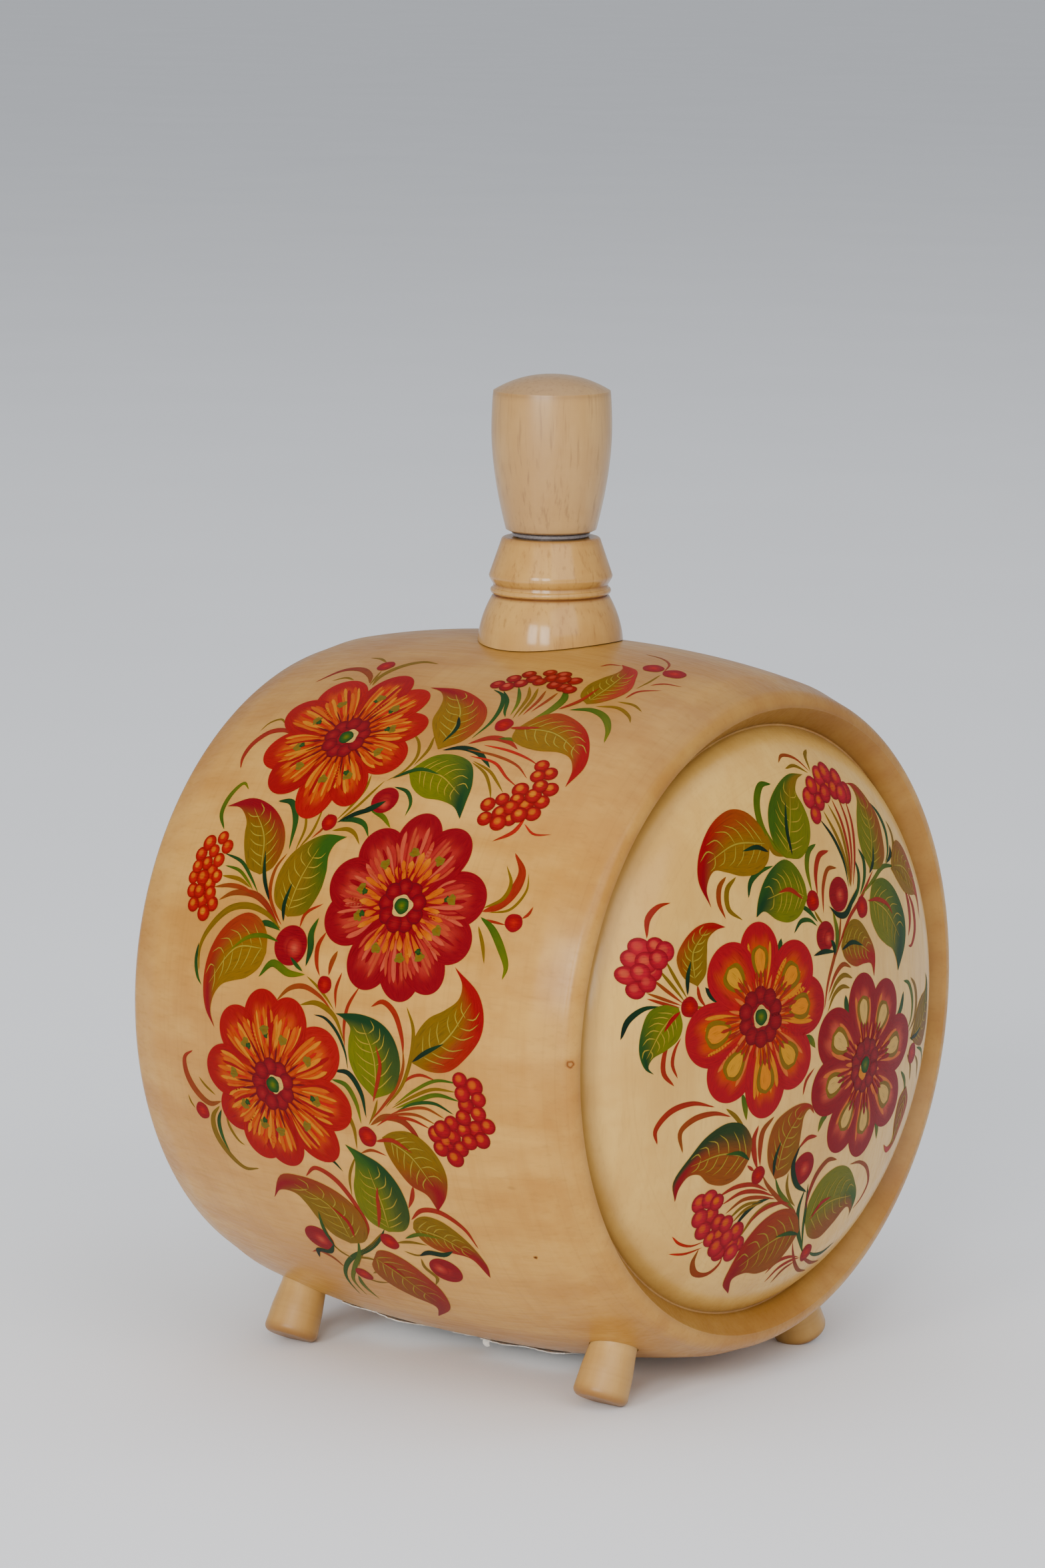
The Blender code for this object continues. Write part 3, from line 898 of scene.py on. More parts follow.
def sprig(film, stems, dots="", buds="", calyx=None):
    """Stems and tendrils with their single berries (x, height, radius), their buds (the same, then where
    the light catches them) and the calyx strokes over those."""
    strokes(film, stems)
    for x, height, radius in path(dots):
        film.disc((x, height), radius, [SCARLET, RED, CRIMSON], 2, wobble=0.02)
    for x, height, radius, *shine in path(buds):
        film.disc((x, height), radius, [ROSE, CRIMSON, CRIMSON], 2, 0.94, 30, 8)
        glow = np.array([x, height]) + np.array(shine) * radius
        film.disc(glow, radius * 0.5, [PINK, ROSE, CRIMSON], 3, rings=4)
    if calyx:
        strokes(film, calyx, 0.5, 0.15, 5)


def chart(prefix, wrap, leaves, clusters, sprigs, paint):
    """Everything on one chart but its flowers."""
    for name, *shape in leaves:
        film = Film(wrap, 0.10)
        leaf(film, *shape)
        film.piece(prefix + "_leaf_" + name, paint)
    for name, (radius, skin, core, centres, stems) in clusters.items():
        film = Film(wrap, 0.04)
        strokes(film, stems)
        berries(film, path(centres), radius, skin, core)
        film.piece(prefix + "_berries_" + name, paint)
    for name, parts in sprigs.items():
        film = Film(wrap, 0.03)
        sprig(film, **parts)
        film.piece(prefix + "_tendrils_" + name, paint)


# ---------------------------------------------------------------- painting: the barrel's side

# The flowers' looks. The ring and the beads are those of the heart.
FIRE = dict(
    edge=RED, edge_far=SCARLET, inside=ORANGE, glow=AMBER, heart=RUST, rim=5.6, pulls=12, sparks=0,
    streaks=(YELLOW, ORANGE, AMBER, RED, YELLOW, AMBER, SCARLET, ORANGE), threads=50, thread=WINE,
    bright=ORANGE, ring=5.2, beads=9, pale=2.7, pale_at=(1.0, 0.3), glint=False,
)
BLUSH = dict(
    edge=CRIMSON, edge_far=CRIMSON, inside=ROSE, glow=BLOOM, heart=CRIMSON, rim=5.6, pulls=8, sparks=3,
    streaks=(BLOOM, ROSE, PINK, CRIMSON, BLOOM), threads=34, thread=CRIMSON, bright=AMBER,
    ring=5.2, beads=9, pale=3.2, pale_at=(0.1, 0.0), glint=False,
)

# For each petal: angle in degrees, length and half width in millimetres
TOP_PETALS = [
    (85, 28, 7.0), (19, 25, 6.2), (-57, 26, 6.2), (-132, 25.7, 7.6), (159, 29, 7.2),
    (54, 26, 6.8), (-16, 24.7, 6.8), (-88, 27.5, 6.8), (-162, 27, 7.2), (129, 29, 8.0),
]
MIDDLE_PETALS = [
    (168, 26, 8.0), (94, 27, 7.2), (14, 26, 8.0), (-55, 26.5, 6.8), (-114, 25.5, 7.2),
    (131, 25.5, 7.6), (61, 26.5, 7.4), (-22, 25.5, 7.4), (-79, 26, 6.8), (-162, 25.5, 7.6),
]
LOW_PETALS = [
    (99, 26.5, 7.2), (33, 27.5, 8.0), (-45, 27, 7.2), (-113, 25, 7.2), (175, 25, 7.6),
    (72, 26, 7.2), (-10, 27.5, 7.4), (-88, 24.5, 7.2), (-147, 24, 6.8), (132, 25.5, 7.4),
]

# Leaves: name, colours at the foot, the tip and the edge, which side the edge colour is on, the midrib's
# ink, the left side from foot to tip, the right side between them, and the midrib. Left and right are
# seen when looking from the foot to the tip.
SIDE_LEAVES = [
    ("upper", GOLD, CRIMSON, RUST, 0.8, "k",
     "11,87.5 6,93 2.5,98 1.5,103 0,107 -3,110 -7.5,111.3", "17,92 19,99 16.5,105 10,109.5 2,112",
     "10,100.5 12.2,96 11,90"),
    ("right", GOLD, RED, RED, -0.7, "w",
     "30,99 33,105 38,108.5 44,107.5 50,104 54.5,98 56.8,91 55,83",
     "31,95.5 35,93.5 41,93 47,94 51,93 54,89", "28,99.2 32,100 37,101.5"),
    ("green_right", LEAF, PINE, GREEN, -0.4, "d",
     "6,79 11,85 17,86.5 24,84.5 28,78 29,72 29.5,66.8", "10,74 15,71.5 21,71.3 26,70",
     "2,76 9,80 16.5,79.3"),
    ("high", OLIVE, RUST, ROSE, 0.8, "w",
     "43,115 39,118 37.5,124 38.5,129 40,134 39.5,137.5 37.5,140",
     "46,117 49,122 49.5,127 47,133 43.5,138.5", "37,110 40.5,116 41.5,124"),
    ("left", OLIVE, CRIMSON, CRIMSON, 0.6, "k",
     "-30,43 -35,44.5 -38.5,49.5 -40.5,54.5 -41.5,58 -46,62 -51.3,62.3",
     "-26,45.5 -24.5,51 -26,56 -29.5,60 -35,63.5 -43,65.3", "-24,36 -28,42.5 -30.5,50"),
    ("green_left", OLIVE, GREEN, GREEN, 0.5, "k",
     "-16.5,32.5 -22,36 -23.5,42 -22,48 -19,52 -12,56.5 -4,56.8", "-11,34 -7.5,40 -7,46 -8,51 -7,54.5",
     "-17.5,31 -18.5,35.5 -17.5,42"),
    ("left_low", GOLD, CRIMSON, RUST, 0.9, "g",
     "-21.8,22 -23.5,18 -28,14.5 -33,13 -37,11.5 -40,8 -41,3.5 -39.3,-1",
     "-22.5,27 -26,31 -30.5,32.2 -35,30.5 -39.5,26.5 -43,20 -44.3,12 -43,4",
     "-18,25.5 -23,26.5 -29,25.5 -35.5,21"),
    ("green_middle", LEAF, PINE, PINE, 0.8, "w",
     "17.5,-13 12,-8 9.5,-3 9.3,2 9.8,5.5 7.5,7.6 4.5,8.8", "24,-10 26.5,-4 26,1 23.5,5.5 19.5,8.3 13,9.6",
     "17,-14 19,-8 20,-3 18.5,2"),
    ("curled", OLIVE, RED, RED, 0.9, "k",
     "30.5,-1.5 31,5 35,11 40,14 44,17.5 44.5,21.5 41.5,26", "36,-3.2 42,-2.5 47.5,2 51.5,8 52,14 49.5,20",
     "30.5,-1.2 35,2 40.5,5"),
    ("brown", OLIVE, CRIMSON, BROWN, 0.5, "w",
     "18.5,-24 22,-22 28,-21.3 33,-24 36.5,-29 37.5,-34 35.5,-40.5 31.5,-45.5",
     "19.5,-29 22,-34 25,-38 29.5,-40.5", "16,-25.5 22,-24.5 28,-27.5"),
    ("green_low", LEAF, GREEN, PINE, 0.8, "w",
     "11,-56 6,-53.5 3.8,-48 4.2,-42 6.5,-36 7.3,-32 5,-28",
     "17,-54.5 20.5,-50 21.5,-44 20,-37.5 16,-32.5 10,-29.8", "8,-55 10.5,-49 12,-43 13,-40"),
    ("crimson", OLIVE, CRIMSON, BROWN, 0.5, "r",
     "-6,-64 -11,-61.5 -14,-56 -16,-51 -18.5,-48 -24,-47.8 -28,-51.5",
     "0,-62 3.5,-56 3,-50 -1,-45.5 -7,-42.5 -14,-41.3 -22,-42.3", "-3,-61 -2.8,-55 -7.5,-49.5"),
    ("low_right", OLIVE, CRIMSON, RUST, 0.6, "g",
     "20.5,-53 22,-50 26,-48 31,-49 35.5,-53 38.5,-58 40,-65 38.7,-70", "22,-57.5 26,-60.5 31,-61 36,-62.5",
     "16,-57.5 22,-55 29,-55.5"),
    ("bottom", BROWN, CRIMSON, RUST, -0.6, "r",
     "0,-69 3,-65 7,-64.5 12,-67.5 15.5,-73 17.5,-80 14.5,-90 5,-98.5",
     "-2.5,-72 -3.3,-76 -1,-81.5 4,-86.5 9,-90.5", "2,-70 5,-71.5 7.5,-75.5"),
]

# Clusters: the berries' radius, skin, core and places, then their stems
SIDE_CLUSTERS = {
    "top": (2.25, RED, PINK, """
        12,116.5 15,120.5 15.5,116 17.5,124 18.5,118.5 20.5,122 23,126.5 23.5,121 25.5,124 27.5,126.8
        28.5,120.5 29,124 32.5,124.5 32,120.5 34,119.8""",
     """
        d 1.4 12.5,114 17,112 20,107 21,100 19,93; d 1.2 16,114 20,110 22.5,105 24,103;
        g 1.2 19,117 22,113 24,109 25,104; y 1.2 22,118 25,113 26.5,103; y 1.2 25,118 27,112 27.5,104;
        b 1.1 28,117.5 29,112 28.5,105; b 1.1 32,117.5 31.5,113 30,107;
        g 2.6 33,119.5 35.5,115 35,109 32,103"""),
    "right": (2.3, EMBER, YELLOW, """
        45,88 48.5,86 45.5,84.5 48,81.5 51.5,81.3 43,79 43.5,76 47.5,78 51,76.5 39.5,75 36,72.5 43,73.2
        47,74.3 50,72.5 40.5,70.8 46.5,71.3 36.8,68.2 44.3,69.3 41.3,67.8""",
     """
        s 0.9 24,91.5 33,91 40,89.5 44,88; b 0.9 20,89 30,88.5 38,86.5 43,83;
        s 0.9 22,87 31,86 37,82 42,79.5; y 0.9 24,85.5 31,83 35,80 38.5,77; o 0.9 24,85 30,82 34,77.5 36,74;
        s 1.3 48.5,71 47,66 42,62; s 0.7 49,69 53,66.5 58,67.5"""),
    "left": (2.25, SCARLET, YELLOW, """
        -48,52.5 -52.5,50.8 -45.3,50 -50,48.2 -54.5,47 -47,45.8 -51,44.6 -54.6,43.3 -48.5,42.3 -46,41
        -55,40.3 -51.3,40.5 -48,38.6 -54,36.5 -51.2,36.6 -46.8,36 -49.5,33.8 -52.6,32.5 -45,33 -48,30.3""",
     """
        d 1.1 -45.5,48 -38,46 -33,42 -29,38; g 1 -44,44.5 -38,43.5 -34,41 -31,38.5;
        y 1.2 -44,41.5 -37,41 -32,39; b 1.4 -46,38 -40,39 -34,38.5 -30,37;
        g 1.7 -49,55 -52.5,60 -52,66 -49,70 -46,68"""),
    "low": (2.5, CARDINAL, AMBER, """
        45.5,-4.5 49.8,-5.8 46,-8.2 50.8,-9.5 47,-11.5 50.5,-13.5 46,-15 53,-17 49.5,-18 45.5,-18.8 42,-17
        38.8,-19 36.8,-20.8 42,-21 51,-21 47,-22 40,-23 37.6,-24.8 44,-24.5 41.5,-27.5""",
     """
        g 1 45,-5.5 38,-5.5 31,-9 24,-14; o 1 44,-8 37,-8 30,-11 23,-15;
        g 1.3 45,-10.5 38,-9.5 31,-12 24,-15; d 1 43,-14.5 37,-12 30,-13 24,-16;
        b 0.9 40,-16 34,-13.7 27,-15 22,-17; b 0.9 37,-18 31,-16 25,-16.5 20,-18;
        w 1 35,-19.5 29,-17.5 22,-18 17,-21"""),
}

SIDE_SPRIGS = {
    "crown": dict(
        stems="""
        c 2.2 -29,111 -32,115 -38,118.5 -44,118 -49.8,111.5; o 0.9 -36,112.5 -40,113.7 -44,112;
        o 2 -27.5,110 -28,115 -25,121 -20,124.3 -14,124; o 0.7 -30,118 -28.5,110;
        o 0.9 -32,123 -36,125.3 -40,125.8; w 2.2 -41.5,88 -46,89.5 -51,88.5 -54.5,84 -55,79 -53.5,75;
        o 0.8 -47,92 -50,94 -53.5,92.5 -55,89""",
        dots="-30.5,120.8,2.7",
    ),
    "high": dict(
        stems="""
        g 2.3 40,111 46,113 51,111.5 55,107 57,101.5; y 1.3 46,115 52,116.8 57,114.5 59,112;
        y 1 50,119.5 55,120 59,118; w 0.9 51,122 52,127 57,131; w 0.8 52.5,132 55,135 60,136.5;
        o 0.7 50.5,140 51,134 50.5,128; w 0.9 33,136 34.5,138.5 38,139.5;
        b 0.8 36,153 42,152.5 47,149 50,142""",
        dots="46,143,3 53,143,3.3",
    ),
    "middle": dict(
        stems="""
        o 1 -1,92.5 3.5,89 5.8,84 4.5,79 0.5,75; o 1.1 7,92 8,87 6.5,81;
        k 1.9 12.5,87.5 18,89.3 24,88.5 28,86 30.5,84; w 2 19,91 25,94.5 31,94 35,92;
        g 1.2 27,94.6 31,95.2 35,94; d 1.7 -9,61 -4,62 0,61 3,57.5; o 1.3 -10,58 -5,59 -2,58 1,55;
        o 0.9 -19,52 -16.5,57 -16,65; o 0.9 -20,51 -19.5,58 -23,65; d 2.1 -33,65 -28,65 -24,60 -22.3,51;
        b 1.2 -22.5,50 -25,45 -24.5,38 -21,33 -18,30; o 1 -5.5,76.5 -5,72 -7,66 -10,61;
        o 0.9 0,75 -5,66 -9,61; b 0.9 -13.5,63 -13,59 -16,55; k 1.6 -9.5,60.5 -4,64 0.5,66 3.5,68.5;
        d 1.2 4,73.5 9,72.5 12,69 12,65; g 1.5 0,65.5 5,64 9,61""",
        dots="25.5,100,2.7 -12,60.3,2.5", buds="3.2,69,4.3,0.1,-0.3", calyx="k 1.9 -3.5,64.2 0,66 3.8,68.8",
    ),
    "right": dict(
        stems="""
        w 3 46,42 50.5,44.5 53.6,49.5 54,55 50,60; o 1.2 46,43 51,46.5 52,51 49,56;
        o 0.8 48,42 54,44 57,50 56,55; g 2.3 46,40.5 50,38 54,33 56.5,28 56,24.5; o 1.1 46,38 48.5,33 50,28;
        w 0.8 47,40 54,39.5; w 0.9 58,42 59.5,43.5 60.3,46""",
        dots="56,40.5,2.6",
    ),
    "left": dict(
        stems="""
        c 2 -43,34.5 -38,37 -30,37.3 -25,35 -21,31.5 -18.5,29;
        o 2 -18,29 -24,32.5 -31,34 -38,32.5 -44,27 -47,21 -46.5,14;
        d 1.3 -47.7,22 -48,17 -46.8,12.5 -45,10.2; d 1.8 -27.5,29 -24,30 -21,29.6 -18,28.5;
        w 1 -11.5,30 -10.5,34 -5,37.5""",
        buds="-13.5,25,5.8,0.25,-0.1",
        calyx="""
        d 2.2 -7.2,20 -6.4,25 -7,29 -5.5,33.5; g 2.3 -23.5,15.2 -19,19.5 -13,17.5 -7,17.8;
        d 1.2 -13,22 -10.5,20 -8,18.5""",
    ),
    "centre": dict(
        stems="""
        b 1.5 -16.5,9.5 -12,13.5 -7,14.6 -1,12.5 3,9.5; o 1.6 -8,9.5 -3,10.7 1,9.8 4.5,7.5 8,1;
        k 1 -3,7.5 1,7 5,4 8,-1 9,-6; o 0.8 -6.5,17.5 -3,15.5 1,12.5 4,9.5; w 1.5 -2,30 -4,26 -3.5,21 -2,18;
        b 1.6 3,25.5 1.5,22 1,18.5; w 1 5.5,20 4,15 4.5,10; w 1.1 12,17 8.5,11 7.6,5 8,0;
        w 1.7 16.3,12 20,13.8 24,11.5 27,5 27.6,0; o 1.3 28,13.5 30.5,8 30.3,1 27,-8 21,-15;
        b 1.1 27.5,2 27.5,-3 25,-9 20,-15 15,-20; w 0.9 38,-5.5 33,-4.5 29,-6 26,-9""",
        dots="0,16,2.4",
    ),
    "low": dict(
        stems="""
        k 1.7 4,-7 9,-7 13,-12 14,-19; g 1.6 3,-9.5 8,-10.5 11,-15 12,-21;
        o 1.5 1.5,-15.5 6,-17 9,-22 9,-29; c 2.1 15,-21 20,-18 26,-18.3 30,-22 31,-25.5;
        o 0.9 18.5,-13 17,-17 14.5,-21; b 0.9 10,-30 14,-28.5 19,-29.5; o 0.9 8,-31 4,-38 2.5,-45;
        k 1 -4,-35 -1,-34 2,-37; w 1.9 -12.5,-41 -8,-37.5 -2,-40 2,-46 4,-55 1,-61;
        w 1.4 25.5,-38 24,-42 21.5,-46; w 1.8 21,-50 26,-46 32,-46 38,-51 40,-58""",
        dots="13.5,-24.5,3",
    ),
    "rear": dict(
        stems="""
        b 2.3 -39,-22.5 -44,-24 -49,-21 -52,-16 -52,-11.5 -48.5,-9; o 0.8 -41,-21 -45,-18.5 -47,-16.5;
        o 2.2 -40,-24 -43.5,-28 -44,-33 -41,-39 -36,-43 -30,-42;
        d 1.5 -39.5,-25 -41.5,-29 -41.5,-34 -40,-39; o 1 -38,-26 -37.5,-30 -35,-34 -33,-35;
        o 0.7 -50.5,-27 -52,-25 -52.5,-23""",
        dots="-47.5,-27,2.6",
    ),
    "stalk": dict(
        stems="""
        d 1.7 10,-55 6,-60 0,-65 -8,-70 -14,-76 -18,-83 -20,-94;
        g 1.5 -2,-61 -5,-68 -11,-76 -16,-84 -17,-93; g 1.6 -12,-80 -13.5,-86 -13,-94;
        o 1.1 8,-57 3,-62 -4,-68 -9,-75; o 1.1 12,-60 17,-58.8 23,-59; o 0.8 13,-63 17,-64 20,-63;
        b 1.3 -15,-77 -17,-73 -21,-71 -24.5,-72.5; o 0.9 -11,-80 -6,-81.5 -1,-80.5;
        o 0.9 -5,-77 -2,-75.5 0,-76; o 1 -7,-70.3 -3,-69.5 2,-70; o 0.9 -9,-71 -12,-69 -13.5,-66""",
        dots="9.5,-60,3 -9,-78.5,2.8", buds="-17.5,-64.5,5,0.1,-0.1 24.5,-69,5.3,-0.3,0.1",
        calyx="""
        k 1.8 -22.8,-74.5 -21,-70.5 -16.5,-70 -13,-66; d 1.3 -13,-68 -13.6,-60 -12.5,-53;
        k 2 18,-64 22,-62 27,-62 31,-60; o 1.3 18,-65 17.5,-69 19.5,-73 17,-77""",
    ),
}


# ---------------------------------------------------------------- painting: the front head

SUN = dict(
    edge=CARDINAL, edge_far=CRIMSON, inside=ORANGE, glow=ORANGE, heart=SCARLET, rim=5.4, drop=GOLD_CREAM,
    threads=44, thread=RUST, bright=PEACH, sunny=0.6, ring=6.0, beads=10, pale=3.1, pale_at=(0.1, 0.0),
    glint=False,
)
DUSK = dict(
    edge=CRIMSON, edge_far=CRIMSON, inside=PINK, glow=PINK, heart=CRIMSON, rim=5.8, drop=CREAM,
    threads=38, thread=CRIMSON, bright=PEACH, sunny=0.0, ring=5.4, beads=10, pale=2.2,
    pale_at=(-1.0, -1.4), glint=True,
)
LEFT_PETALS = [
    (87, 25.5, 7.4), (2, 27, 8.2), (-83, 28.5, 7.8), (-171, 27, 8.8),
    (37, 26, 8.4), (-47, 27, 8.4), (-129, 26, 8.4), (128, 24.5, 8.8),
]
RIGHT_PETALS = [
    (97, 26.3, 7.8), (8, 29, 8.2), (-81, 27.3, 7.8), (-170, 27, 8.2),
    (53, 26, 8.4), (-38, 29.5, 8.2), (-120, 26, 7.8), (148, 28, 8.6),
]

HEAD_LEAVES = [
    ("red_left", GOLD, CRIMSON, RED, 0.6, "k",
     "-17,52.5 -19,48.5 -24,46 -30,46 -35,47.5 -39.5,48.3 -43,44 -42.5,39",
     "-19,58 -23,62 -28,63.3 -34,61.5 -39.5,57.5 -44,51.5 -45.3,46", "-18,51 -22,52.7 -28,52.3"),
    ("green_top", LEAF, OLIVE, GREEN, -0.9, "k",
     "-11,48.5 -15,53 -15.5,58 -13.5,63 -8,67.3 -1,69.6 5,68.8", "-5,47.8 0,51 2,56 1,61 -0.8,65 1.5,67.8",
     "-8.5,49 -8.6,56 -6.5,63"),
    ("green_middle", LEAF, PINE, GREEN, 0.5, "w",
     "-5,37 -9,33 -14,31.7 -19,33 -23.5,35.8 -26.8,34.6",
     "-5.2,41 -8,46 -12,48.3 -17,47 -22,43.5 -25.5,38.5", "-7,37 -12,40.2 -17,40"),
    ("two_tone", LEAF, RUST, BROWN, 0.9, "k",
     "29,40 26,45 25.5,50 27,55 29.3,59.5 28,62.8 24.5,64", "35,39.5 39,42 40,48 39.3,53 36,58 31,62.8",
     "28,39 31,41.5 33,46"),
    ("green_right", LEAF, PINE, GREEN, -0.6, "w",
     "26,31.5 29,36 35,36.8 41,34 45.5,29 48,23 47,17 41,10", "26,27 29,22 34,18.5 38,16.5 40.3,13",
     "25,32 31,31.5 37,29 39.5,26"),
    ("far_right", GOLD, ROSE, BROWN, -0.5, "o",
     "42.5,38 45,43 49,45 54,42 58,35 60,28 60.3,21", "46,34 50,30.5 55,28.8 58.5,28",
     "42,38.2 47,37.5 52,33"),
    ("inner", OLIVE, RED, RUST, 0.6, "k",
     "8.5,22 11,26 15,28.3 19,27.5 23.5,23 26.5,17.5 25.5,11", "10,18.5 15,15.5 20,15.5 24,14.8",
     "8.5,21 14,22.3 20,20.5"),
    ("small_left", OLIVE, RED, RUST, -0.5, "k",
     "-50,19 -54.5,22 -56,27 -53,31.5 -48,34.7 -43,35.2 -38.5,33.5", "-47,22 -46,27 -45,31 -42,33",
     "-53.5,17 -53,22 -51.5,26"),
    ("green_left", LEAF, PINE, GREEN, 0.4, "r",
     "-56.5,14 -55.5,9 -57,5.5 -61,3 -65,1.3 -66.2,-1 -64.5,-3", "-61,15.3 -65.5,14 -68,9 -68.7,3 -67,-1.5",
     "-56,13 -59,11 -61.5,8"),
    ("low_left", BROWN, CRIMSON, PINE, 0.95, "d",
     "-29,-31 -32,-35.5 -37,-37.3 -43,-36 -47,-33 -50.5,-33 -53,-36 -53.5,-39.7",
     "-29,-26 -33,-21 -39,-19.7 -46,-22.5 -50.5,-27 -55.3,-34", "-29,-31.5 -33,-29 -38.5,-28.5"),
    ("brown", BROWN, RUST, OLIVE, 0.6, "k",
     "-17,-39 -21,-34 -22.3,-28 -20.5,-22.5 -15,-19.5 -9,-18.7 -5,-20 -3.5,-22.6",
     "-12,-38 -9,-32 -8.5,-26 -8,-22.5 -6,-20.9", "-18,-38 -18.5,-33 -17,-28"),
    ("low_crimson", BROWN, CRIMSON, RUST, 0.6, "d",
     "0,-57 -3,-62 -8,-66 -14,-67 -20,-65.8 -23.5,-67 -21,-72",
     "-2.5,-52.5 -7,-49.3 -13,-48.8 -19,-51 -24,-56 -26.5,-62 -26,-68", "0,-58 -5,-56.8 -11,-56.8"),
    ("low_green", LEAF, GREEN, BROWN, 0.95, "r",
     "2,-55 1.5,-49 5,-43.5 12,-40.8 19,-42 25,-47 28.8,-53 25.5,-62",
     "6,-60 12,-61.5 18,-58.5 24,-54.8 27.2,-57", "4,-54.5 8,-50.5 13,-49.5"),
    ("edge_dark", OLIVE, GREEN, BROWN, 0.6, "k",
     "52,-11 54.5,-7 57,-3 60.5,-0.5 63.5,0.5 64.5,3 63.5,5.5", "57,-14 62,-15 65.5,-10 66,-3 65.5,3",
     "52,-11.2 56,-11 60,-9.5"),
    ("edge_rose", BROWN, ROSE, ROSE, -0.5, "k",
     "52,-25 55,-30 52.5,-36 48,-42 44,-43 41,-40", "47.5,-28 46.5,-35 47.5,-40 44.5,-41.3", ""),
]

HEAD_CLUSTERS = {
    "top": (2.75, CARMINE, AMBER, """
        4.5,62.5 9,61 6,57.8 7.3,65.6 10.8,64.3 12.3,67.6 16.3,67.8 13,62.7 15.5,64.8 18,63.2 20.8,65.6
        21.2,61.8 23.8,61.6""",
     """
        k 1.2 7.5,56.5 12,51 15,44.5 15.8,37; y 1.3 10,58.5 14,51 16,45 16.5,37;
        y 1.2 13,60 16.5,53 17.3,45 16.8,37; w 1.2 15.5,61 18,54 18.5,46 17,37;
        w 1.1 19,61 20.8,54 20,46 17.5,38; w 1.2 22.5,60 23.3,53 21.5,45 18,37"""),
    "left": (2.7, CARMINE, PINK, """
        -65.5,30.7 -61.8,31 -59.2,29.3 -61.5,27.3 -68,28 -64.8,27 -70,24 -66.5,24.3 -63.2,24.5 -68.5,20
        -65.3,21.4""",
     """
        o 1 -59.5,27 -57,22 -53.5,16; o 1 -62,25 -58,20 -54.5,15.5; b 1 -64,22.5 -60,19 -55,15;
        b 0.9 -66,19 -61,16.8 -55.5,14.5; w 0.9 -66,17.5 -61,15.6 -56,14;
        w 1.4 -63.5,33 -62,38 -58.5,41 -55,41.7"""),
    "low": (2.7, CARMINE, AMBER, """
        -45,-41.2 -41.5,-40.6 -38.6,-42 -43.6,-45.8 -39.8,-45.6 -36.8,-48 -41.5,-49.8 -33.5,-49 -38,-52.5
        -35,-52 -35,-55.5 -31.8,-53 -33,-57.2 -29.5,-55.3 -28.6,-52 -28.6,-58 -26.6,-56""",
     """
        w 1.4 -38.5,-40.5 -33,-38.7 -26,-39 -19,-42; w 1.3 -36.5,-43 -30,-40.7 -23,-41.5 -16,-44;
        b 1.2 -34.5,-46 -29,-43 -22,-43.3 -15,-45; o 1.1 -33,-48 -28,-44.8 -21,-44.5;
        o 1 -31,-49 -27,-46 -20,-45; k 1.5 -30,-51 -27,-47.5 -23,-45 -17,-44.3;
        y 1.5 -26.5,-54 -23,-49 -18,-46.3 -12,-46.5; w 1.3 -25,-51 -20,-47.5 -13,-46.5 -8,-47.5"""),
}

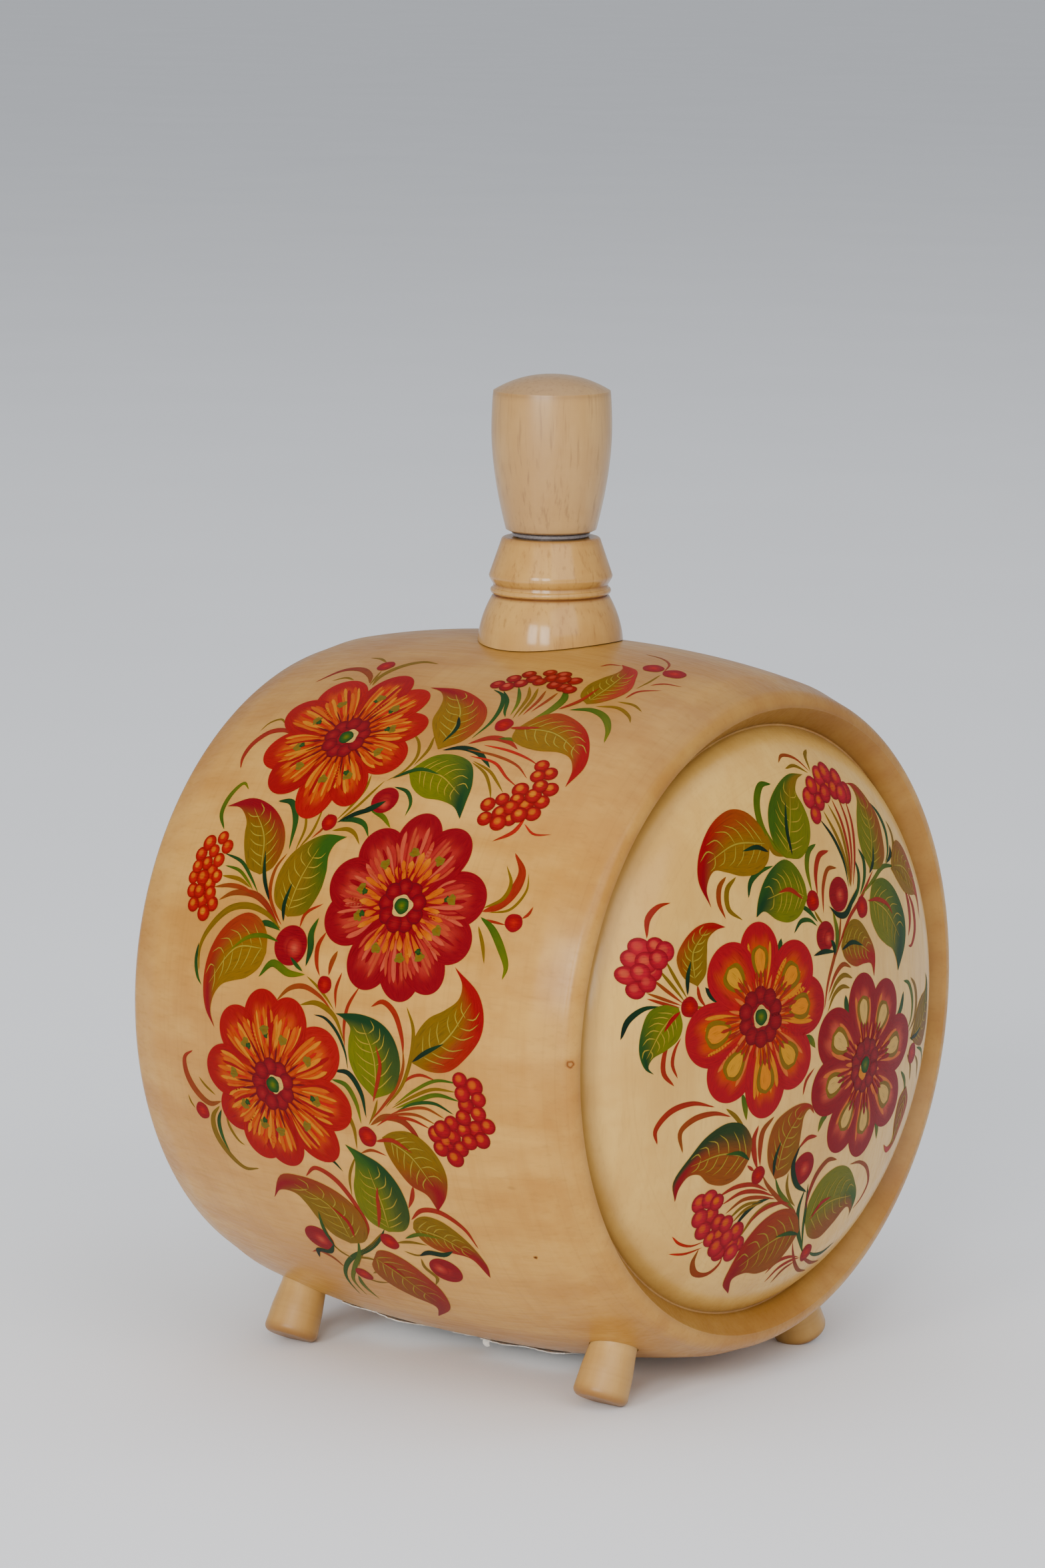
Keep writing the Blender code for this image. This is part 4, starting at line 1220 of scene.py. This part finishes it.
HEAD_SPRIGS = {
    "top": dict(
        stems="""
        b 0.9 -3,72.7 0,74.2 5,73 9,69; o 0.9 -1.5,71 3,71.3 8,68.8; o 1.2 13.5,74.2 10.5,72.8 9.3,69;
        g 2.4 -10,68 -14,68.2 -18,64 -18.5,58 -15,52 -11,48.5; y 1.6 -17.5,56 -16,51 -12,49;
        d 1.7 -28.7,40 -27,44 -23,46.3 -17,47.2; b 1.7 -35.5,46.5 -38.5,44 -39.5,40 -38,35.5;
        o 1.7 -32,46 -36,43 -36.5,38 -32,34.5""",
    ),
    "middle": dict(
        stems="""
        g 2 3,50.5 -1,49 -3,45 -2.5,38; w 1.9 8.5,48 3.5,47.3 0.5,43 -0.2,37;
        b 1.5 11,43 6.5,43.3 3,39 1.5,32; o 0.9 -2.7,33.5 -1,31 1,29; d 1.3 -12.5,28.5 -9,31.3 -5,31 -2,29;
        d 1.4 -9.5,36 -5,33.5 -1.5,30; d 1.6 21,44 22,40 20.5,36 16,32; d 1.7 24,46.5 26,43 25,38.5 21,34;
        w 1.3 30.5,39.5 26,36.5 21,33 14,29 9,24 5,19; b 1.4 10,31 8,25 5,20 1,13 -1,6;
        b 1.5 13,15.5 9,17 5,15 1,10; o 1.5 13.5,12.5 9,14 5,12.5 1,8; o 1.4 12,10 8,11 4,9.5 0.5,5;
        d 2.3 9.5,8.5 10,5 11.5,1.5; d 1.9 -18,28 -19,25.5 -20.5,23; g 2.2 -9.5,0.3 -7,-1.5 -5,-4""",
        dots="-2.7,36,2.8 21.5,30.8,3", buds="10,36,4.9,0.1,-0.05 1.3,25.8,4.3,0.3,-0.2",
        calyx="""
        k 1.9 4.5,33.5 8,30.8 12,30.2 16,33 20,36.3; k 1.4 -5,21.4 0,21.8 5.5,21; g 1.7 5.5,20.5 7,26 6,32;
        k 1.6 5,20 4.8,23 3.5,24.5""",
    ),
    "right": dict(
        stems="""
        g 1.5 45,38.5 37,39.5 30,37 22,34; k 1.6 44,44.5 43.5,42 39.5,40;
        d 1.6 37,57 41,53 43,48 42,43 39,40; o 1.4 45,51 47,47 46,43 42,40.5;
        w 1.9 50.5,31.5 52,27 52,22 50,18; w 1.9 52.5,30 55.5,25 55.5,19 52,15.3 49.5,15.5;
        d 2.3 45,3.5 43,-1 39,-3.8; g 2 31.5,-31 33.5,-33.5 34.5,-37; g 1.7 45,6.5 49,5 52,0 51.5,-5 49,-8;
        y 1.8 50.5,6.5 54,3.5 55.5,-1 54,-6 50,-9; d 1.3 60,-10.5 55,-11.8 51,-11;
        b 1.3 64,-13 58,-12.5 52,-11.5; g 1.5 46,-19.5 50,-23 52,-29; o 1.3 50,-15.5 53.5,-19 54.5,-24;
        o 1.1 57,-17 60,-20 61,-25; g 1.1 58,-15 63,-17 66,-22""",
        dots="54,-16,3",
    ),
    "left": dict(
        stems="""
        w 1.2 -50,19.5 -49.5,16 -47.5,13; k 1.5 -73,7 -71,12 -67,14.8 -62,15;
        w 1.5 -58,-7 -61.5,-3 -61,3 -58.5,6.5; w 1.1 -57,-5 -58.8,-1 -58,3 -56,6;
        k 2 -47.5,18.5 -45,15.5 -41.5,13.5; o 1 -52,14 -47,12.5 -43,12;
        w 1.8 -62,-22.5 -63,-18.5 -59,-14 -52,-12.5 -44,-14.5;
        b 1.8 -53.5,-26 -55,-20 -51,-17 -44,-16.3 -38,-18; o 1.3 -40,-15.5 -36,-18.5 -31,-24;
        g 1.9 -34.5,-12 -33,-16 -32,-20""",
        dots="-53,13.8,2.8",
    ),
    "low": dict(
        stems="""
        w 2 -27,-22 -28.3,-26 -27,-31 -25,-35; b 2 -21,-20.5 -25,-24 -25.3,-29 -24.3,-34;
        g 2.2 3.5,-24 1,-25 -0.5,-28.5; w 1 -26.5,-35 -29.5,-33; w 1.1 -9.5,-16.5 -8.5,-12.5 -5,-9.5;
        b 1.4 -22.5,-37 -20,-40 -13,-45.5 -6,-49.5 -1,-55; g 1.3 -17,-38.5 -14,-43 -9,-47 -5,-50;
        o 1.2 -11.5,-38 -11,-42 -8,-46.5 -5,-49; d 1.8 -2,-44.5 -3,-50 -1,-56 3,-61.5 6,-65;
        d 1.2 -1,-43 0.5,-50 2,-57 5,-64; c 1.9 12,-38.5 7,-37.8 2.5,-41 0.5,-46 0.5,-51;
        b 1.3 20,-41.5 26,-42 32,-45 35.3,-50 33,-54 29,-56.5; w 1.4 -0.5,-29.5 -5,-29.3 -9,-32""",
        dots="-24.5,-36.5,2.6", buds="-5,-38,4.9,0.15,-0.05",
        calyx="k 1.9 -8,-30.5 -10,-36 -7,-42 -1,-45.5",
    ),
    "bottom": dict(
        stems="""
        w 1.2 -10,-68 -7,-65.2 -2,-64.5 4,-65.5; w 1.1 -8,-71 -5,-67.5 0,-66 5,-66;
        b 1.1 -4.5,-72 -2,-68.5 3,-66.7; d 1.2 24,-65.5 18,-67.3 12,-66.5 8,-64.5;
        c 1.1 20,-70.3 14,-69.5 9,-67.5 5,-65.5; c 1.2 14,-72 8,-70.5 3,-67 0,-63 -1.5,-60;
        s 0.8 -51,-50 -48,-52.5 -44,-53.8 -40,-53; s 0.8 -49.5,-55.5 -45,-56 -40,-54.8;
        b 1.6 -41,-55 -41,-59 -38,-63 -34,-63.7 -31.5,-61 -31.5,-58.5""",
        dots="7.5,-65,2.6",
    ),
}


def lacquered_paint():
    s = Shader("lacquered_paint")
    pigment = s.attribute("Pigment").outputs["Color"]
    brush = s.attribute("Brush").outputs["Vector"]
    pull = s.node("Mapping", Vector=brush, Scale=(0.10, 1.0, 1.0)).outputs[0]
    streak = s.noise(pull, 2.6, 3.0, 0.6)
    fine = s.noise(pull, 9.0, 2.0, 0.5)
    thin = s.blend(s.span(streak, 0.45, 0.8, 0.0, 0.35), pigment, (0.9, 0.6, 0.15), "SOFT_LIGHT")
    thick = s.blend(s.span(streak, 0.5, 0.25, 0.0, 0.45), thin, (0.25, 0.22, 0.2), "MULTIPLY")
    s.set(Base_Color=thick, Roughness=s.span(fine, 0.3, 0.7, 0.34, 0.48))
    s.set(Coat_Weight=0.07, Coat_Roughness=0.18, Coat_IOR=1.5, Specular_IOR_Level=0.05)
    s.bump(s.maths("ADD", streak, s.maths("MULTIPLY", fine, 0.4)), 0.12, 0.0002)
    return s.material


def painting():
    paint = lacquered_paint()
    chart("side", on_side, SIDE_LEAVES, SIDE_CLUSTERS, SIDE_SPRIGS, paint)
    flower("side_flower_top", on_side, (-21.5, 88), TOP_PETALS, FIRE, 3, paint)
    flower("side_flower_middle", on_side, (21, 40), MIDDLE_PETALS, BLUSH, 5, paint)
    flower("side_flower_low", on_side, (-18, -14), LOW_PETALS, FIRE, 8, paint)
    chart("head", on_head, HEAD_LEAVES, HEAD_CLUSTERS, HEAD_SPRIGS, paint)
    flower("head_flower_left", on_head, (-28, 8), LEFT_PETALS, SUN, 11, paint)
    flower("head_flower_right", on_head, (21, -13), RIGHT_PETALS, DUSK, 12, paint)
    # A dark fleck low on the side and a small knot at the edge of the rim
    film = Film(on_side, 0.05)
    film.disc((57, -60), 0.75, [INK, BROWN, HONEY], 1, 0.8, 20, 4, 0.1)
    film.piece("side_fleck", paint)
    film = Film(on_edge, 0.05)
    film.disc((4.6, 3), 1.7, [HONEY, TAN, BROWN, TAN, HONEY], 1, 1.0, 80, 6, 0.08)
    film.piece("rim_knot", paint)


# ---------------------------------------------------------------- label and varnish line


def sheet(name, under, over, material):
    """A thin closed sheet between two grids of points in millimetres."""
    rows, columns = under.shape[:2]
    at = np.arange(rows * columns).reshape(rows, columns)
    below = np.stack([at[:-1, :-1], at[:-1, 1:], at[1:, 1:], at[1:, :-1]], -1).reshape(-1, 4)
    above = below[:, [0, 3, 2, 1]] + at.size
    rim = np.concatenate([at[0], at[1:, -1], at[-1, -2::-1], at[-2:0:-1, 0]])
    ahead = np.roll(rim, -1)
    edge = np.stack([ahead, rim, rim + at.size, ahead + at.size], -1)
    points = np.concatenate([under.reshape(-1, 3), over.reshape(-1, 3)])
    piece = add_piece(name, points * MM, np.concatenate([below, above, edge]).tolist())
    finish_surface(piece, material)
    return piece


def label_side(lift):
    """One face of what is left of the label: torn along its edges, its near edge curled up."""
    xs = np.linspace(LABEL_FROM, LABEL_TO, 115)
    torn = 0.35 * np.sin(1.9 * xs) + 0.25 * np.sin(4.3 * xs + 1)
    near = 18.4 - 3.5 * smooth(-26, -5, xs) - 4.5 * smooth(-26, -22, xs) * smooth(-3, -6, xs) + torn
    far = 11.0 + 0.8 * np.sin(0.21 * xs) + torn[::-1]
    angle = np.radians(np.linspace(-near, far, 25, axis=1))
    curled = smooth(0.86, 1.0, np.abs(angle) / np.radians(near)[:, None])
    x = xs[:, None] + 0 * angle
    radius = belly_radius(x) + lift + curled * (0.35 + 0.25 * np.sin(0.37 * x))
    return np.stack([x, radius * np.sin(angle), AXIS_HEIGHT - radius * np.cos(angle)], -1)


def curl_side(lift):
    """One face of the loose corner: a strip that bends outwards and down."""
    across, t = np.meshgrid(np.linspace(-1, 1, 5), np.linspace(0, 1, 9), indexing="ij")
    y = -23.6 - 1.5 * np.sin(2.4 * t) - lift
    z = AXIS_HEIGHT - 96.8 - 2.6 * t + 0.35 * across**2
    return np.stack([-1.8 + (1.3 - 0.3 * t) * across, y, z], -1)


def paper_label():
    """A blank label under the belly, and its corner that hangs loose."""
    material = paper()
    label = sheet("torn_label", label_side(LABEL_UNDER), label_side(LABEL_OVER), material)
    adopt(label, "keg", "label_paper", "paper_label")
    curl = sheet("torn_label_curl", curl_side(0.0), curl_side(LABEL_OVER - LABEL_UNDER), material)
    adopt(curl, "keg", "label_paper")


def paper():
    s = Shader("label_paper")
    fibre = s.noise(s.where((1, 0.3, 1)), 1400.0, 4.0, 0.7)
    age = s.noise(s.where((1, 1, 1)), 150.0, 3.0)
    colour = s.blend(s.span(fibre, 0.35, 0.7), (0.88, 0.87, 0.82), (0.74, 0.71, 0.65))
    colour = s.blend(s.span(age, 0.55, 0.75, 0.0, 0.5), colour, (0.45, 0.36, 0.24))
    s.set(Base_Color=colour, Roughness=0.85, Specular_IOR_Level=0.2)
    s.bump(fibre, 0.3, 0.0002)
    return s.material


def varnish_line(material):
    """The varnish that has settled in the joint between the barrel and its front head."""
    section = arc((HEAD_RADIUS + 0.15, GROOVE_AT - 0.35), 0.6, 90, -270, 14)[:-1]
    line = turned("varnish_line", section, 288, along_x())
    shade_and_stain(line, lambda radius, height: np.full(len(radius), 0.35))
    finish_surface(line, material)
    adopt(line, "keg", "barrel_wood")


# ---------------------------------------------------------------- setting

FLOOR_REACH = 90


def floor():
    points = [(x * FLOOR_REACH, y * FLOOR_REACH, 0) for x, y in ((-1, -1), (1, -1), (1, 1), (-1, 1))]
    piece = add_piece("floor", points, [(0, 1, 2, 3)])
    s = Shader("pale_cloth")
    weave = s.noise(s.where((1, 1, 1)), 900.0, 2.0)
    # Broad lighter and darker patches across the cloth: painted shade of its folds
    fold_shade = s.noise(s.where((1, 1, 1)), 5.0, 2.0)
    colour = s.blend(fold_shade, (0.87, 0.88, 0.91), (0.92, 0.93, 0.96))
    s.set(Base_Color=colour, Roughness=0.85, Specular_IOR_Level=0.2)
    s.bump(weave, 0.08, 0.0005)
    piece.data.materials.append(s.material)


def area_light(name, place, target, size, power, colour):
    data = bpy.data.lights.new(name, "AREA")
    data.shape = "RECTANGLE"
    data.size, data.size_y = size
    data.energy = power
    data.color = colour
    lamp = link(name, data)
    lamp.location = place
    lamp.rotation_euler = (Vector(target) - Vector(place)).to_track_quat("-Z", "Y").to_euler()


def lights():
    """A pale room with a window of two casements, low in front of the barrel's side."""
    world = bpy.data.worlds.new("studio")
    bpy.context.scene.world = world
    world.use_nodes = True
    sky = world.node_tree.nodes["Background"]
    sky.inputs["Color"].default_value = (0.93, 0.96, 1.0, 1)
    sky.inputs["Strength"].default_value = 0.56
    for name, bearing in (("casement_left", 8), ("casement_right", 28)):
        turn = math.radians(bearing)
        place = (2.4 * math.sin(turn), -2.4 * math.cos(turn), 0.9)
        area_light(name, place, (0, 0, 0.1), (0.62, 0.95), 27, (1.0, 0.98, 0.95))
    area_light("room", (2.2, -1.1, 1.7), (0, 0, 0.1), (2.2, 1.6), 28, (1.0, 0.99, 0.97))
    area_light("ceiling", (0, 0, 3.6), (0, 0, 0), (4.5, 4.5), 58, (0.96, 0.98, 1.0))


# Camera, measured from the barrel's centre
AZIMUTH = math.radians(37.66)
ELEVATION = math.radians(9.13)
ROLL = math.radians(0.34)
DISTANCE = 1.6356
ASIDE = -0.0072
RAISED = 0.0575
LENS = 133.1
SENSOR = 36


def camera():
    ce, se = math.cos(ELEVATION), math.sin(ELEVATION)
    back = Vector((math.sin(AZIMUTH) * ce, -math.cos(AZIMUTH) * ce, se))
    level = Vector((math.cos(AZIMUTH), math.sin(AZIMUTH), 0))
    over = back.cross(level)
    right = math.cos(ROLL) * level + math.sin(ROLL) * over
    up = back.cross(right)
    data = bpy.data.cameras.new("camera")
    data.lens = LENS
    data.sensor_width = SENSOR
    view = link("camera", data)
    place = Vector((0, 0, AXIS_HEIGHT * MM)) + ASIDE * right + RAISED * up + DISTANCE * back
    turn = Matrix((right, up, back)).transposed().to_4x4()
    view.matrix_world = Matrix.Translation(place) @ turn
    bpy.context.scene.camera = view


def woodwork():
    side = wood("side_wood", (0.53, 0.28, 0.055), (0.38, 0.16, 0.02), (0.11, 0.04, 0.008), coat=0.28)
    pale = wood(
        "head_wood", (0.61, 0.365, 0.088), (0.49, 0.26, 0.05), (0.22, 0.10, 0.02), (0.09, 1, 1), 0.6
    )
    barrel_shell(side)
    varnish_line(side)
    head("front_head", 90, pale)
    head("rear_head", -90, pale)
    slim = (1, 1, 0.06)
    neck_look = wood(
        "neck_wood", (0.52, 0.29, 0.07), (0.38, 0.18, 0.035), (0.16, 0.05, 0.01), slim,
        coat=0.6, coat_rough=0.14, lathe=0.04, pore=0.35,
    )
    cap_look = wood(
        "cap_wood", (0.48, 0.285, 0.095), (0.37, 0.195, 0.05), (0.16, 0.07, 0.02), slim,
        coat=0.9, coat_rough=0.36, lathe=0.03, pore=0.45,
    )
    foot_look = wood(
        "foot_wood", (0.58, 0.36, 0.12), (0.46, 0.25, 0.06), (0.22, 0.09, 0.02), slim,
        coat=0.3, coat_rough=0.35,
    )
    neck(neck_look)
    stopper(cap_look, plug_plastic())
    feet(foot_look)


camera()
lights()
floor()
woodwork()
paper_label()
painting()
